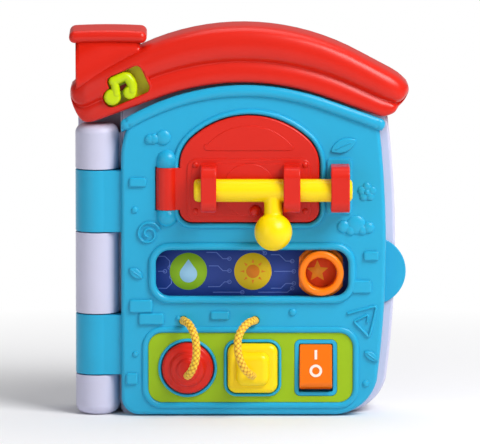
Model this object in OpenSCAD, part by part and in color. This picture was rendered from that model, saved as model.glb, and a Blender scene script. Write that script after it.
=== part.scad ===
// Activity house: a toy house that opens like a book on a left hand spine.
// Millimetres, front faces -Y, +Z up, origin at the middle of the underside.

/* [House] */
// largest distance of the rear casing's right wall from the middle
house_right = 97; // [88:0.5:110]
// depth of the rear casing behind the parting plane
house_depth = 34; // [26:1:50]
// wall of every moulded shell
wall = 2.4; // [1.8:0.1:3.2]
// thickness of the page that closes the casing
page_t = 2.2; // [1.8:0.1:3]
// radius of the lower right corner of the casing
house_corner = 29; // [15:1:40]
// left wall of the rear casing, right of the spine
house_left = -73.4; // [-80:0.2:-66]
// radius of the bulging right side
side_bulge = 650; // [400:10:1200]

/* [Spine] */
// spine axis, left of the middle
spine_x = -88; // [-95:0.5:-80]
// radius of the knuckles
knuckle_r = 13.5; // [11:0.1:16]
// top of the lowest knuckle
knuckle_z1 = 25; // [18:0.5:35]
// top of the lower cover knuckle
knuckle_z2 = 63; // [50:0.5:75]
// top of the middle knuckle
knuckle_z3 = 114; // [100:0.5:130]
// top of the upper cover knuckle
knuckle_z4 = 153; // [140:0.5:165]
// top of the highest knuckle
knuckle_z5 = 181.5; // [170:0.5:182.5]
// rounding of the spine's two ends
spine_round = 6; // [3:0.5:8]
// end gap between neighbouring knuckles
knuckle_gap = 0.6; // [0.4:0.1:1.2]
// radius of the steel spine pin
pin_r = 2.5; // [1.5:0.1:4]
// radial running gap on the spine pin
pin_fit = 0.05; // [0.03:0.01:0.1]

/* [Cover] */
// thickness of the cover in front of the parting plane
cover_t = 16; // [13:0.5:22]
// gap between cover and casing at the parting plane
cover_gap = 0.4; // [0.3:0.1:1]
// thickness of the cover's back plate
back_t = 2; // [1.5:0.1:3]
// gap below the cover
cover_lift = 0.8; // [0.5:0.1:2]
// left edge of the cover
cover_left = -73; // [-76:0.2:-68]
// largest distance of the cover's right edge from the middle
cover_right = 91; // [80:0.5:95]
// lower right corner radius of the cover
cover_corner = 28; // [15:1:36]
// lower left corner radius of the cover
cover_corner_left = 11; // [5:0.5:16]
// radius at the upper left corner of the cover
cover_top_left = 50; // [30:1:80]
// gap between the roof's lower edge and the eave
eave_gap = 1.6; // [1:0.1:3]
// step from the eave down to the cover's body behind it
eave_step = 4; // [3:0.5:6]
// height of the eave roll on the cover
eave_h = 7.4; // [5:0.2:10]
// middle of the eave's left curve, along the house
eave_x = 5; // [2:0.5:10]
// radius of the eave's left curve
eave_r = 145; // [140:1:160]
// how far raised rims stand out of the cover's face
rim_h = 2; // [1:0.1:3]
// how far the relief ornaments stand out
relief_h = 1.2; // [0.6:0.1:2]
// radius of the pull tab
tab_r = 21.4; // [16:0.2:26]
// height of the pull tab's middle
tab_z = 89.2; // [70:0.2:120]

/* [Roof] */
// middle of the arch
arch_x = 2.5; // [-5:0.5:8]
// highest point of the roof's lower edge
arch_low = 208.3; // [200:0.1:215]
// radius of the arch's lower edge
arch_r = 150; // [120:1:200]
// end angle of the arch's lower edge
arch_a = 19.5; // [15:0.5:25]
// height of the lower roll, up to the groove between the rolls
lower_roll = 12.7; // [9:0.1:17]
// height of the upper roll, above the groove
upper_roll = 22.4; // [18:0.1:26]
// how far the upper roll stands in front of the parting plane
roof_front = 20; // [18:0.5:24]
// how far the roof reaches behind the parting plane
roof_rear = 14; // [8:0.5:20]
// left side of the chimney cap
cap_left = -105; // [-110:0.5:-100]
// right side of the chimney cap
cap_right = -57; // [-64:0.5:-50]
// distance of the chimney cap's underside below the roof's top
cap_drop = 11.4; // [8:0.1:14]
// height of the chimney cap
cap_h = 10.4; // [7:0.2:11]

/* [Note switch] */
// middle of the note's window, across
note_x = -69.5; // [-74:0.5:-64]
// distance of the note's window below the middle of the roof's band
note_drop = 2.9; // [2.2:0.1:3.6]
// tilt of the window along the roof
note_tilt = 24; // [15:1:30]
// travel of the note
note_travel = 6; // [4:0.5:6.5]

/* [Door] */
// middle of the door
door_x = 6.4; // [0:0.2:12]
// half width of the door
door_half = 43.2; // [36:0.2:48]
// underside of the door
door_z = 121.5; // [115:0.5:128]
// height at which the door's arch springs
door_spring = 156.9; // [150:0.5:162]
// rise of the door's arch
door_rise = 31; // [26:0.5:34]
// shoulder radius of the door's arch
door_shoulder = 23; // [15:0.5:25]
// lower corner radius of the door
door_corner = 8; // [4:0.5:12]
// gap around the door
door_gap = 0.6; // [0.4:0.1:1]
// height of the raised plate on the door
pad_h = 0.9; // [0.5:0.1:1.5]
// thickness of the door
door_t = 5; // [4:0.2:6]
// how far the door stands in front of the cover's face
door_proud = 2.5; // [2:0.1:3.5]
// door hinge axis
door_axis_x = -44.6; // [-48:0.2:-42]
// radius of the door's knuckle
door_knuckle_r = 6.8; // [6:0.1:7]
// width of the rim around the door
door_rim = 3; // [2:0.2:5]
// radius of the door's hinge pin
door_pin_r = 1.6; // [1:0.1:2.4]

/* [Bolt] */
// height of the bolt's axis
bolt_z = 142.6; // [138:0.2:146]
// radius of the bolt's bar
bolt_r = 7.1; // [6:0.1:8]
// distance of the bolt's axis from the door's front
bolt_off = 10; // [9.5:0.1:13]
// left end of the bolt
bolt_left = -27.9; // [-30:0.1:-24]
// right tip of the bolt
bolt_right = 70; // [66:0.5:72]
// length of the turning end cap
bolt_cap = 7; // [5:0.5:10]
// middle of the knob's stem
stem_x = 21.1; // [18:0.1:22]
// radius of the knob's stem
stem_r = 5.6; // [4:0.1:6]
// radius of the knob
knob_r = 11.7; // [9:0.1:14]
// distance of the knob below the bolt's axis
knob_drop = 25.2; // [22:0.2:30]
// distance of the knob in front of the bolt's axis
knob_out = 4; // [3.5:0.1:8]
// strap thickness of the staples and the keeper
strap = 2.4; // [1.8:0.1:3]
// gap between the straps and the bar
strap_gap = 0.4; // [0.3:0.1:0.8]
// half height of the staples and the keeper
strap_half = 14.3; // [12:0.1:15]
// height of their middle above the bolt's axis
strap_lift = 1; // [0:0.1:1.2]
// radius of their front edges
strap_round = 7; // [4:0.5:8]
// travel of the bolt
bolt_travel = 14.5; // [14:0.5:16]

/* [Slot] */
// left end of the slot
slot_x0 = -51.5; // [-56:0.5:-46]
// right end of the slot
slot_x1 = 67.6; // [62:0.2:72]
// lower edge of the slot
slot_z0 = 75.2; // [70:0.2:80]
// height of the slot
slot_h = 28.8; // [24:0.2:32]
// depth of the floor plate below the face
floor_depth = 9; // [7:0.5:10]
// hole of the sliding ring
ring_hole_r = 9.6; // [7:0.2:11]
// overhang of the ring's foot behind the slot's lip
ring_lip = 2.2; // [1.5:0.1:3]
// how far the ring stands out of the face
ring_proud = 3.6; // [2.5:0.1:6]
// thickness of a printed label
label_t = 0.3; // [0.2:0.1:0.6]

/* [Panel] */
// left side of the green panel
panel_x0 = -56.4; // [-60:0.2:-50]
// right side of the green panel
panel_x1 = 70.7; // [64:0.2:74]
// lower side of the green panel
panel_z0 = 8.7; // [7:0.1:12]
// upper side of the green panel
panel_z1 = 52.4; // [48:0.2:54]
// width of the rim around the panel
panel_rim = 3.6; // [2.5:0.1:5]
// height of the plugs and of the rocker
plug_z = 30.4; // [28:0.2:33]
// middle of the round plug
round_x = -31.9; // [-36:0.2:-28]
// radius of the round plug
round_r = 16; // [13:0.2:16.4]
// middle of the square plug
square_x = 8.4; // [5:0.2:11]
// width of the square plug
square_w = 31; // [26:0.5:32]
// gap around a plug in its socket
plug_gap = 0.4; // [0.3:0.1:0.8]
// wall of a socket
socket_wall = 1.6; // [1.2:0.1:2.4]
// middle of the rocker
rocker_x = 47.6; // [45:0.2:50]
// width of the rocker
rocker_w = 20.2; // [16:0.2:24]
// height of the rocker
rocker_h = 28.6; // [24:0.2:32]
// tilt of the rocker to each side
rocker_tilt = 8; // [5:0.5:10]

/* [Cords] */
// radius of the braided cords
cord_r = 2.4; // [1.8:0.1:3]

/* [Inside] */
// radius of the loudspeaker
speaker_r = 20; // [14:0.5:24]
// radius of one cell
cell_r = 5.25; // [5:0.05:7.3]
// length of one cell
cell_l = 44.5; // [40:0.5:51]

/* [Hidden] */
$fn = 64;
knob_front = bolt_off + door_proud + cover_t + knob_out + knob_r;
yp = (knob_front - house_depth) / 2;
face = yp - cover_t;
back_y = yp + house_depth;
door_front = face - door_proud;
bolt_y = door_front - bolt_off;
door_axis_y = face + door_knuckle_r - 5;
spine_back = yp + knuckle_r + 0.5;
groove_top = arch_low + lower_roll;
roof_top = groove_top + upper_roll;
cap_z = roof_top - cap_drop;
eave_low = arch_low - eave_gap;
slot_mid = slot_z0 + slot_h / 2;
ring_r = slot_h / 2 - 0.4;
floor_y = face + floor_depth;
back_front = yp - cover_gap - back_t;
rocker_y = face + 5;
note_y = yp - 10.2;

// extrude an XZ outline from y0 to y1
module slab(y0, y1) {
  translate([0, y1, 0]) rotate([90, 0, 0]) linear_extrude(height = y1 - y0) children();
}
module rod_x(x0, x1, y, z, r) {
  translate([x0, y, z]) rotate([0, 90, 0]) cylinder(r = r, h = x1 - x0);
}
module rod_y(x, z, y0, y1, r) {
  translate([x, y1, z]) rotate([90, 0, 0]) cylinder(r = r, h = y1 - y0);
}
module rod_z(x, y, z0, z1, r) {
  translate([x, y, z0]) cylinder(r = r, h = z1 - z0);
}
module round_rect(x0, z0, x1, z1, r) {
  translate([x0 + r, z0]) square([x1 - x0 - 2 * r, z1 - z0]);
  translate([x0, z0 + r]) square([x1 - x0, z1 - z0 - 2 * r]);
  for (x = [x0 + r, x1 - r]) for (z = [z0 + r, z1 - r]) translate([x, z]) circle(r = r);
}
// everything below an arch that ends in straight slopes
module below_arch(low, r, a) {
  x1 = 140;
  z1 = r * cos(a) - (x1 - r * sin(a)) * tan(a);
  translate([arch_x, low - r]) {
    intersection() {
      circle(r = r, $fn = 400);
      polygon([[0, 0], [-2 * r * sin(a), 2 * r * cos(a)], [2 * r * sin(a), 2 * r * cos(a)]]);
    }
    polygon([[0, 0], [-r * sin(a), r * cos(a)], [-x1, z1], [-x1, -300], [x1, -300], [x1, z1],
      [r * sin(a), r * cos(a)]]);
  }
}
module bulged(x0, x1, z0, top, r_left, r_right) {
  // the lower right corner runs into the bulging side almost without a kink
  reach = side_bulge - r_right;
  fall = 106 - z0 - r_right;
  corner_x = x1 - side_bulge + sqrt(reach * reach - fall * fall) + 0.2;
  corner_h = 106 - z0 - fall * side_bulge / reach;
  intersection() {
    below_arch(top, arch_r, arch_a);
    translate([x1 - side_bulge, 106]) circle(r = side_bulge, $fn = 400);
    difference() {
      translate([x0, z0]) square([x1 - x0, 300]);
      translate([corner_x, z0]) difference() {
        square([x1 - corner_x + 1, corner_h]);
        translate([0, r_right]) circle(r = r_right, $fn = 128);
      }
      translate([x0, z0]) difference() {
        translate([-1, 0]) square([r_left + 1, r_left]);
        translate([r_left, r_left]) circle(r = r_left);
      }
    }
  }
}
module cover_outline(inset = 0) {
  r = cover_top_left;
  difference() {
    bulged(cover_left + inset, cover_right - inset, cover_lift + inset, eave_low - eave_step - inset,
      cover_corner_left - inset, cover_corner - inset);
    translate([cover_left + r, knuckle_z5 - 21]) difference() {
      translate([-r - 1, 0]) square([r * 0.3, 40]);
      circle(r = r - inset, $fn = 256);
    }
  }
}
module house_outline(inset = 0, top = 0) {
  bulged(house_left + inset, house_right - inset, inset, arch_low - 0.5 + top - inset,
    3 - inset * 0.5, house_corner - inset);
}
module door_outline(grow = 0) {
  a = door_half + grow;
  r = door_shoulder + grow;
  h = door_rise + grow;
  c = a - r;
  big = (c * c + h * h - r * r) / (2 * (h - r));
  len = sqrt(c * c + (big - h) * (big - h));
  ux = c / len;
  uz = (big - h) / len;
  translate([door_x, door_spring]) {
    for (s = [-1, 1]) translate([s * c, 0]) circle(r = r);
    translate([0, h - big]) intersection() {
      circle(r = big, $fn = 128);
      polygon([[0, 0], [-2 * big * ux, 2 * big * uz], [2 * big * ux, 2 * big * uz]]);
    }
    translate([-c, -1]) square([2 * c, r * 0.8]);
  }
  difference() {
    round_rect(door_x - a, door_z - grow, door_x + a, door_spring + 10, door_corner + grow);
    translate([door_x - a - 1, door_spring]) square([2 * a + 2, 12]);
  }
}
// band of the eave roll, rounded off at both ends
// the eave curves down further than the roof on the spine's side
module below_eave(low) {
  intersection() {
    below_arch(low, arch_r, arch_a);
    union() {
      translate([eave_x, low - eave_r]) circle(r = eave_r, $fn = 400);
      translate([eave_x, low - 100]) square([100, 101]);
    }
  }
}
module eave_outline() {
  difference() {
    intersection() {
      below_eave(eave_low);
      translate([cover_left, 150]) square([cover_right - cover_left - 2, 80]);
    }
    below_eave(eave_low - eave_h);
    translate([cover_left - 1, 185.6]) square([6, 20]);
  }
}
posts = [[-60, 14], [-60, 168], [82, 140], [74, 24]];
cover_posts = [[-66, 14], [-66, 172], [82, 166], [84, 64], [-66, 66]];
cells_x = -36;
cells_z = 66;
box_w = cell_l + 9;
box_h = 6 * cell_r + 3;
box_y = back_y - wall;
board_y = yp + 8.2;

module knuckle(z0, z1) {
  rod_z(spine_x, yp, z0, z1, knuckle_r);
}
// end knuckle, rounded off at its outer end
module end_knuckle(h) {
  r = spine_round;
  rotate_extrude($fn = 96) {
    square([knuckle_r, h - r]);
    square([knuckle_r - r, h]);
    intersection() {
      translate([knuckle_r - r, h - r]) circle(r = r);
      translate([knuckle_r - r, h - r]) square([r, r]);
    }
  }
}
module house_knuckle(z0, z1) {
  knuckle(z0, z1);
  translate([spine_x, yp + cover_gap, z0]) cube([house_left - spine_x + 1, knuckle_r - 1.5, z1 - z0]);
}
module cover_knuckle(z0, z1) {
  knuckle(z0, z1);
  translate([spine_x, yp - knuckle_r + 1, z0])
    cube([cover_left - spine_x + 1, back_front - yp + knuckle_r - 1, z1 - z0]);
}
module head_outline(inset) {
  intersection() {
    below_arch(roof_top - 4 - inset, arch_r, 28);
    union() {
      translate([-98 + inset, arch_low - 25.2 + inset]) square([160 - inset, 80]);
      translate([0, arch_low - 11.5 + inset]) square([98 - inset, 80]);
    }
  }
}
// column of the casing behind the spine
module spine_outline(inset) {
  round_rect(spine_x - knuckle_r + 1.5 + inset, inset, house_left + 2 * inset + 4, arch_low - 18 - inset, 3);
}
module rear_shell() {
  color("#d5d2e6") difference() {
    union() {
      difference() {
        union() {
          slab(yp, back_y) house_outline();
          slab(yp + roof_rear, back_y) head_outline(0);
          slab(spine_back, back_y) spine_outline(0);
        }
        slab(yp - 1, back_y - wall) house_outline(wall);
        slab(yp - 1, yp + page_t) translate([house_left + 1, -5]) square([300, 300]);
        slab(spine_back + wall, back_y - wall) spine_outline(wall);
        slab(yp + roof_rear - 1, back_y - wall) head_outline(wall);
      }
      slab(spine_back, spine_back + wall) spine_outline(0);
      for (p = posts) rod_y(p[0], p[1], yp + 10, back_y - 1, 4.5);
      house_knuckle(spine_round, knuckle_z1);
      translate([spine_x, yp, spine_round + 1]) mirror([0, 0, 1]) end_knuckle(spine_round + 1);
      house_knuckle(knuckle_z2 + knuckle_gap, knuckle_z3);
      house_knuckle(knuckle_z4 + knuckle_gap, knuckle_z5 - spine_round);
      translate([spine_x, yp, knuckle_z5 - spine_round - 1]) end_knuckle(spine_round + 1);
    }
    for (p = posts) {
      rod_y(p[0], p[1], yp + 5, back_y + 1, 1.6);
      rod_y(p[0], p[1], back_y - 8, back_y + 1, 3.4);
    }
    rod_z(spine_x, yp, 1.5, knuckle_z5 - 2, pin_r);
    slab(back_y - wall - 1, back_y + 1) battery_outline(1.6);
  }
}
module battery_outline(grow) {
  round_rect(cells_x - box_w / 2 - grow, cells_z - box_h / 2 - grow, cells_x + box_w / 2 + grow,
    cells_z + box_h / 2 + grow, 2.5);
}
// front half of the casing, a lid that closes it up to its outer edge
module inner_panel() {
  color("#e4e2f0") difference() {
    union() {
      slab(yp, yp + page_t) intersection() {
        house_outline();
        translate([house_left + 1.2, -5]) square([300, 300]);
      }
      for (p = posts) rod_y(p[0], p[1], yp + 1, yp + 10, 4.5);
      for (p = [[-14, 128], [-14, 158], [-54, 128], [-54, 158]]) rod_y(p[0], p[1], yp + 1, board_y, 3);
    }
    for (p = posts) rod_y(p[0], p[1], yp + 4, yp + 11, 1.5);
    for (p = [[-14, 128], [-54, 158]]) rod_y(p[0], p[1], yp + 3.5, board_y + 1, 1);
    for (a = [0:60:359]) rod_y(40 + 6.5 * cos(a), 128 + 6.5 * sin(a), yp - 1, yp + page_t + 1, 1.6);
    for (a = [0:30:359]) rod_y(40 + 13 * cos(a), 128 + 13 * sin(a), yp - 1, yp + page_t + 1, 1.6);
    rod_y(40, 128, yp - 1, yp + page_t + 1, 1.6);
  }
}
module loudspeaker() {
  color("#2a2a2c") translate([40, yp + page_t, 128]) rotate([-90, 0, 0]) difference() {
    union() {
      cylinder(r = speaker_r, h = 2);
      translate([0, 0, 2]) cylinder(r1 = speaker_r - 2, r2 = 10, h = 6);
    }
    translate([0, 0, -1]) cylinder(r = speaker_r - 4, h = 2.2);
    translate([0, 0, 1.1]) cylinder(r1 = speaker_r - 4, r2 = 7, h = 5);
  }
}
module speaker_magnet() {
  color("#77777c") rod_y(40, 128, yp + page_t + 8, yp + page_t + 13.8, 10);
}
module circuit_board() {
  color("#2f7d4a") difference() {
    union() {
      translate([-60, board_y, 122]) cube([52, 1.6, 42]);
      translate([-44, board_y + 1.6, 136]) cube([10, 1.5, 10]);
      translate([-28, board_y + 1.6, 140]) cube([6, 2.5, 4]);
    }
    for (p = [[-14, 128], [-54, 158]]) rod_y(p[0], p[1], board_y - 1, board_y + 3, 1.2);
  }
}
module board_screws() {
  color("#b9b9bd") for (p = [[-14, 128], [-54, 158]]) {
    rod_y(p[0], p[1], yp + 4, board_y + 1.6, 1);
    rod_y(p[0], p[1], board_y + 1.6, board_y + 3, 2);
  }
}
module battery_box() {
  color("#c9c6da") difference() {
    slab(box_y - 2 * cell_r - 2, box_y) battery_outline(3);
    slab(box_y - 2 * cell_r - 0.5, box_y + 1) battery_outline(0);
  }
}
cell_y = box_y - cell_r - 0.4;
module cells() {
  color("#3d3d42") for (i = [-1:1]) {
    rod_x(cells_x - cell_l / 2, cells_x + cell_l / 2 - 1, cell_y, cells_z + i * 2 * (cell_r + 0.2), cell_r);
    rod_x(cells_x + cell_l / 2 - 1, cells_x + cell_l / 2, cell_y, cells_z + i * 2 * (cell_r + 0.2), 1.9);
  }
}
module cell_contacts() {
  color("#c8c8cc") for (i = [-1:1]) for (s = [-1, 1]) {
    z = cells_z + i * 2 * (cell_r + 0.2);
    translate([cells_x + s * (box_w / 2 - 0.25) - 0.25, cell_y - 4, z - 4]) cube([0.5, 8, 8]);
    rod_x(cells_x + (s > 0 ? cell_l / 2 : -box_w / 2 + 0.5), cells_x + (s > 0 ? box_w / 2 - 0.5 : -cell_l / 2),
      cell_y, z, 2.6);
  }
}
module battery_door() {
  color("#cfcce2") difference() {
    slab(box_y, back_y) battery_outline(1.3);
    rod_y(cells_x, cells_z + box_h / 2 - 2.6, box_y - 1, back_y + 1, 1.3);
    rod_y(cells_x, cells_z + box_h / 2 - 2.6, back_y - 1.2, back_y + 1, 2.3);
  }
}
module battery_screw() {
  color("#a9a9ae") {
    rod_y(cells_x, cells_z + box_h / 2 - 2.6, box_y - 0.4, back_y - 1.2, 1.25);
    rod_y(cells_x, cells_z + box_h / 2 - 2.6, back_y - 1.2, back_y - 0.2, 2.2);
  }
}
module case_screws() {
  color("#a9a9ae") for (p = posts) {
    rod_y(p[0], p[1], yp + 4.5, back_y - 8, 1.45);
    rod_y(p[0], p[1], back_y - 8, back_y - 6, 3);
  }
}
module spine_pin() {
  color("#b5b8bd") rod_z(spine_x, yp, 1.5, knuckle_z5 - 2, pin_r);
}

// roof: height of an arch's line at x
function drop(x, r, a) = let(d = abs(x - arch_x))
  d < r * sin(a) ? r - sqrt(r * r - d * d) : r * (1 - cos(a)) + (d - r * sin(a)) * tan(a);
function roof_lo(x) = arch_low - min(25.2, drop(x, arch_r, arch_a));
function roof_mid(x) = groove_top - drop(x, 160, 24);
function roof_hi(x) = roof_top - drop(x, 150, 28);
// station: x, lower edge, groove, top, lower depth, upper depth, hollow or not
function station(x, d) = [x, roof_lo(x), roof_mid(x), roof_hi(x), roof_front - 2 - d, roof_front - d, 1];
function tip(x, lo, gr, tp, dl, du, k) = [x, arch_low + lo, arch_low + gr, arch_low + tp, dl, du, k];
note_z = (roof_lo(note_x) + roof_hi(note_x)) / 2 - note_drop;
roof_path = concat(
  [tip(-104.5, -8.8, -8.2, -4.6, 5, 7, 0), tip(-103.4, -13.4, -11.8, -2.4, 7, 9.6, 0),
   tip(-101, -19.2, -15, -0.3, 9, 12, 0), tip(-98.5, -23.2, -15.8, 1, 10.4, 13.6, 0),
   tip(-98, -23.7, -15.9, 1.3, 10.6, 13.8, 1), tip(-95, -25, -16, 2.9, 12.4, 15.6, 1)],
  [station(-90, 3.4), station(-84, 2.2), station(-76, 1), station(-68, 0.4)],
  [for (x = [-60:8:84]) station(x, 0)],
  [station(89, 0.2), tip(93, -20, -11.8, 6.9, 17.4, 19.4, 1), tip(96, -18.1, -13, 5.2, 16.6, 18.8, 1),
   tip(96.5, -17.5, -13, 4.9, 16.4, 18.6, 0), tip(98.5, -14.6, -13.3, 3.5, 15.4, 18, 0),
   tip(101, -12.9, -12.2, 1.4, 14, 16.8, 0), tip(103.4, -9.6, -9, -1, 12, 14.4, 0),
   tip(105, -6.4, -5.8, -4, 9, 11, 0)]);
function ring_pts(s) = let(lo = s[1], gr = s[2], tp = s[3], dl = s[4], du = s[5], hl = gr - lo, hu = tp - gr,
  w = min(wall, 0.3 * (tp - lo)), b = roof_rear, k = s[6] > 0 ? 1 : 0,
  outer = [[b, lo], [-dl * 0.75, lo], [-dl * 0.95, lo + 0.18 * hl], [-dl, lo + 0.45 * hl],
    [-dl * 0.95, lo + 0.75 * hl], [-dl * 0.86, gr], [-du * 0.93, gr + 0.12 * hu], [-du, gr + 0.35 * hu],
    [-du * 0.98, gr + 0.58 * hu], [-du * 0.88, gr + 0.82 * hu], [-du * 0.7, gr + 0.94 * hu],
    [-du * 0.45, tp - 0.05 * hu], [b, tp]],
  inner = [[b, tp - w], [-(du * 0.5 - w), tp - w - 0.05 * hu], [-(du * 0.86 - w), gr + 0.74 * hu],
    [-(du * 0.96 - w), gr + 0.5 * hu], [-(du * 0.9 - w), gr + 0.15 * hu], [-(dl * 0.86 - w), gr],
    [-(dl * 0.86 - w), lo + 0.5 * hl], [-(dl * 0.86 - w), lo + w], [b, lo + w]])
  concat([for (p = outer) [s[0], yp + p[0], p[1]]],
    [for (i = [0:8]) let(p = inner[i], z = tp - w - (tp - lo - 2 * w) * i / 8)
      k > 0 ? [s[0], yp + p[0], p[1]] : [s[0], yp + (i == 0 || i == 8 ? b : b - 0.6), z]]);
// skin over a row of rings, closed at both ends by the given end faces
module loft(rings, ends) {
  n = len(rings[0]);
  m = len(rings);
  polyhedron(points = [for (r = rings) each r],
    faces = concat(ends,
      [for (j = [0:m - 2]) for (i = [0:n - 1]) let(a = j * n + i, b = j * n + (i + 1) % n)
        each [[a, a + n, b], [b, a + n, b + n]]],
      [for (e = ends) [for (i = [len(e) - 1:-1:0]) e[i] + (m - 1) * n]]));
}
function inner_at(i) = 21 - floor(i * 8 / 12 + 0.5);
roof_ends = [for (i = [0:11]) each inner_at(i) == inner_at(i + 1) ? [[i, i + 1, inner_at(i)]] :
  [[i, i + 1, inner_at(i)], [i + 1, inner_at(i + 1), inner_at(i)]]];
module at_note(y) {
  translate([note_x, y, note_z]) rotate([0, -note_tilt, 0]) children();
}
module note_window(grow) {
  round_rect(-16.6 - grow, -8.8 - grow, 13.6 + grow, 3.5 + grow, 5.4 + grow);
  round_rect(-10.4 - grow, -8.8 - grow, 13.6 + grow, 10.2 + grow, 4 + grow);
}
module roof_shell() {
  color("#e63423") difference() {
    loft([for (s = roof_path) ring_pts(s)], roof_ends);
    at_note(0) slab(yp - 30, yp - 4) note_window(0);
  }
}
module chimney_outline(inset, lift) {
  x0 = cap_left + 4 + inset;
  x1 = cap_right - 4 - inset;
  polygon([[x0, roof_hi(x0) + lift], [-68, roof_hi(-68) + lift], [x1, roof_hi(x1) + lift], [x1, cap_z + 1],
    [x0, cap_z + 1]]);
}
module chimney() {
  color("#e63423") difference() {
    union() {
      slab(yp - 14, yp + roof_rear) chimney_outline(0, 0.3);
      slab(yp - 16, yp + roof_rear) round_rect(cap_left, cap_z, cap_right, cap_z + cap_h, 4);
    }
    slab(yp - 14 + wall, yp + roof_rear - wall) chimney_outline(wall, -5);
    slab(yp - 14 + wall, yp + roof_rear - wall)
      round_rect(cap_left + 4 + wall, cap_z - 3, cap_right - 4 - wall, cap_z + cap_h - wall, 2);
  }
}
module note_floor() {
  color("#a9bd10") at_note(0) difference() {
    slab(note_y, note_y + 1.8) round_rect(-18.3, -9, 14.9, 10.5, 6.4);
    slab(note_y - 1, note_y + 3) round_rect(-8.4, -1.6, 6.4, 1.6, 1.4);
  }
}
module bar2d(x0, z0, x1, z1, w) {
  l = sqrt((x1 - x0) * (x1 - x0) + (z1 - z0) * (z1 - z0));
  translate([x0, z0]) rotate(atan2(z1 - z0, x1 - x0)) translate([0, -w / 2]) square([l, w]);
  translate([x0, z0]) circle(r = w / 2 + 0.15, $fn = 32);
  translate([x1, z1]) circle(r = w / 2 + 0.15, $fn = 32);
}
module note_slider() {
  color("#c3d900") at_note(0) {
    slab(yp - 18.5, note_y - 0.3) {
      translate([-10.5, -2.3]) circle(r = 5.2);
      translate([0.6, -4.2]) circle(r = 4.2);
      bar2d(-6.2, 6.3, 2, 6.2, 6.2);
      bar2d(-5.6, 5, -7.6, -1.5, 4.8);
      bar2d(3.4, 5, 3.8, 0, 5.8);
      bar2d(3.8, 0, 1.8, -4, 4.8);
    }
    slab(note_y - 1, note_y + 3.6) round_rect(-8, -1.3, 0, 1.3, 1.2);
    slab(note_y + 2.1, note_y + 3.6) round_rect(-8, -4, 0, 4, 1.2);
    slab(note_y - 1.2, note_y - 0.3) round_rect(-9, -3.6, 3.8, 6, 1.5);
  }
}

// relief ornaments on the cover's face
module leaf2d(x0, z0, x1, z1, r) {
  mx = (x0 + x1) / 2;
  mz = (z0 + z1) / 2;
  l = sqrt((x1 - x0) * (x1 - x0) + (z1 - z0) * (z1 - z0)) / 2;
  h = sqrt(r * r - l * l);
  translate([mx, mz]) rotate(atan2(z1 - z0, x1 - x0)) intersection() {
    translate([0, h]) circle(r = r);
    translate([0, -h]) circle(r = r);
  }
}
module brick2d(x, z, w, h) {
  round_rect(x - w / 2, z - h / 2, x + w / 2, z + h / 2, 1.2);
}
module arc2d(x, z, r, w, a0, a1) {
  translate([x, z]) intersection() {
    difference() {
      circle(r = r + w / 2);
      circle(r = r - w / 2);
    }
    polygon([[0, 0], [3 * r * cos(a0), 3 * r * sin(a0)],
      [3 * r * cos((a0 + a1) / 2), 3 * r * sin((a0 + a1) / 2)], [3 * r * cos(a1), 3 * r * sin(a1)]]);
  }
}
module relief() {
  for (c = [[-53.9, 173, 3.7], [-47.1, 174.2, 5], [65.1, 119.7, 4.3], [75, 121.5, 5.9], [80, 117.4, 4],
      [-64.5, 129, 2.2], [-37.8, 61.4, 1.6], [-64.2, 39, 1.9], [33.2, 65.1, 2.5], [78.7, 20.5, 2.2],
      [79, 140.1, 2.4]])
    translate([c[0], c[1]]) circle(r = c[2]);
  for (a = [90:72:449]) translate([79 + 3.6 * cos(a), 140.1 + 3.6 * sin(a)]) circle(r = 2.1);
  for (b = [[-62.6, 146.3, 11, 6], [81.8, 100.4, 9.6, 6], [75.8, 81.2, 12.6, 8.2], [-60.8, 69.1, 14.6, 8.4],
      [-54.3, 61, 16, 7.4], [-11.8, 63.2, 12, 5.6], [-66.4, 23.6, 7.4, 7.4]])
    brick2d(b[0], b[1], b[2], b[3]);
  leaf2d(56.5, 165.4, 72.4, 172.6, 11);
  leaf2d(-67.4, 86, -59.4, 92.4, 6.5);
  leaf2d(78.2, 34, 86, 40, 6.5);
  arc2d(-56.2, 114, 6.6, 1.6, -40, 100);
  arc2d(-56.2, 114, 6.6, 1.6, 99, 240);
  arc2d(-57.4, 113.4, 3.6, 1.6, 60, 200);
  arc2d(-57.4, 113.4, 3.6, 1.6, 199, 330);
  bar2d(-51.2, 109.8, -48.6, 117.4, 1.6);
  bar2d(67.6, 64.5, 84.9, 69.1, 1.5);
  bar2d(84.9, 69.1, 80.6, 50.2, 1.5);
  bar2d(80.6, 50.2, 71.3, 59.5, 1.5);
  bar2d(71.3, 59.5, 80, 63.9, 1.5);
}
module slot_outline(grow) {
  round_rect(slot_x0 - grow, slot_z0 - grow, slot_x1 + grow, slot_z0 + slot_h + grow, 8.7 + grow);
}
module panel_outline(grow) {
  round_rect(panel_x0 - grow, panel_z0 - grow, panel_x1 + grow, panel_z1 + grow, 9 + grow);
}
module round_socket(grow) {
  translate([round_x, plug_z]) circle(r = round_r + plug_gap + grow);
}
module square_socket(grow) {
  h = square_w / 2 + plug_gap + grow;
  round_rect(square_x - h, plug_z - h, square_x + h, plug_z + h, 5.6 + grow);
}
module rocker_frame(grow) {
  round_rect(rocker_x - rocker_w / 2 - 0.4 - grow, plug_z - rocker_h / 2 - 0.7 - grow,
    rocker_x + rocker_w / 2 + 0.4 + grow, plug_z + rocker_h / 2 + 0.7 + grow, 1 + grow);
}
module sockets(grow) {
  round_socket(grow);
  square_socket(grow);
  rocker_frame(grow);
}
cord_holes = [[-34.6, 60], [9.8, 60]];
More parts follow.
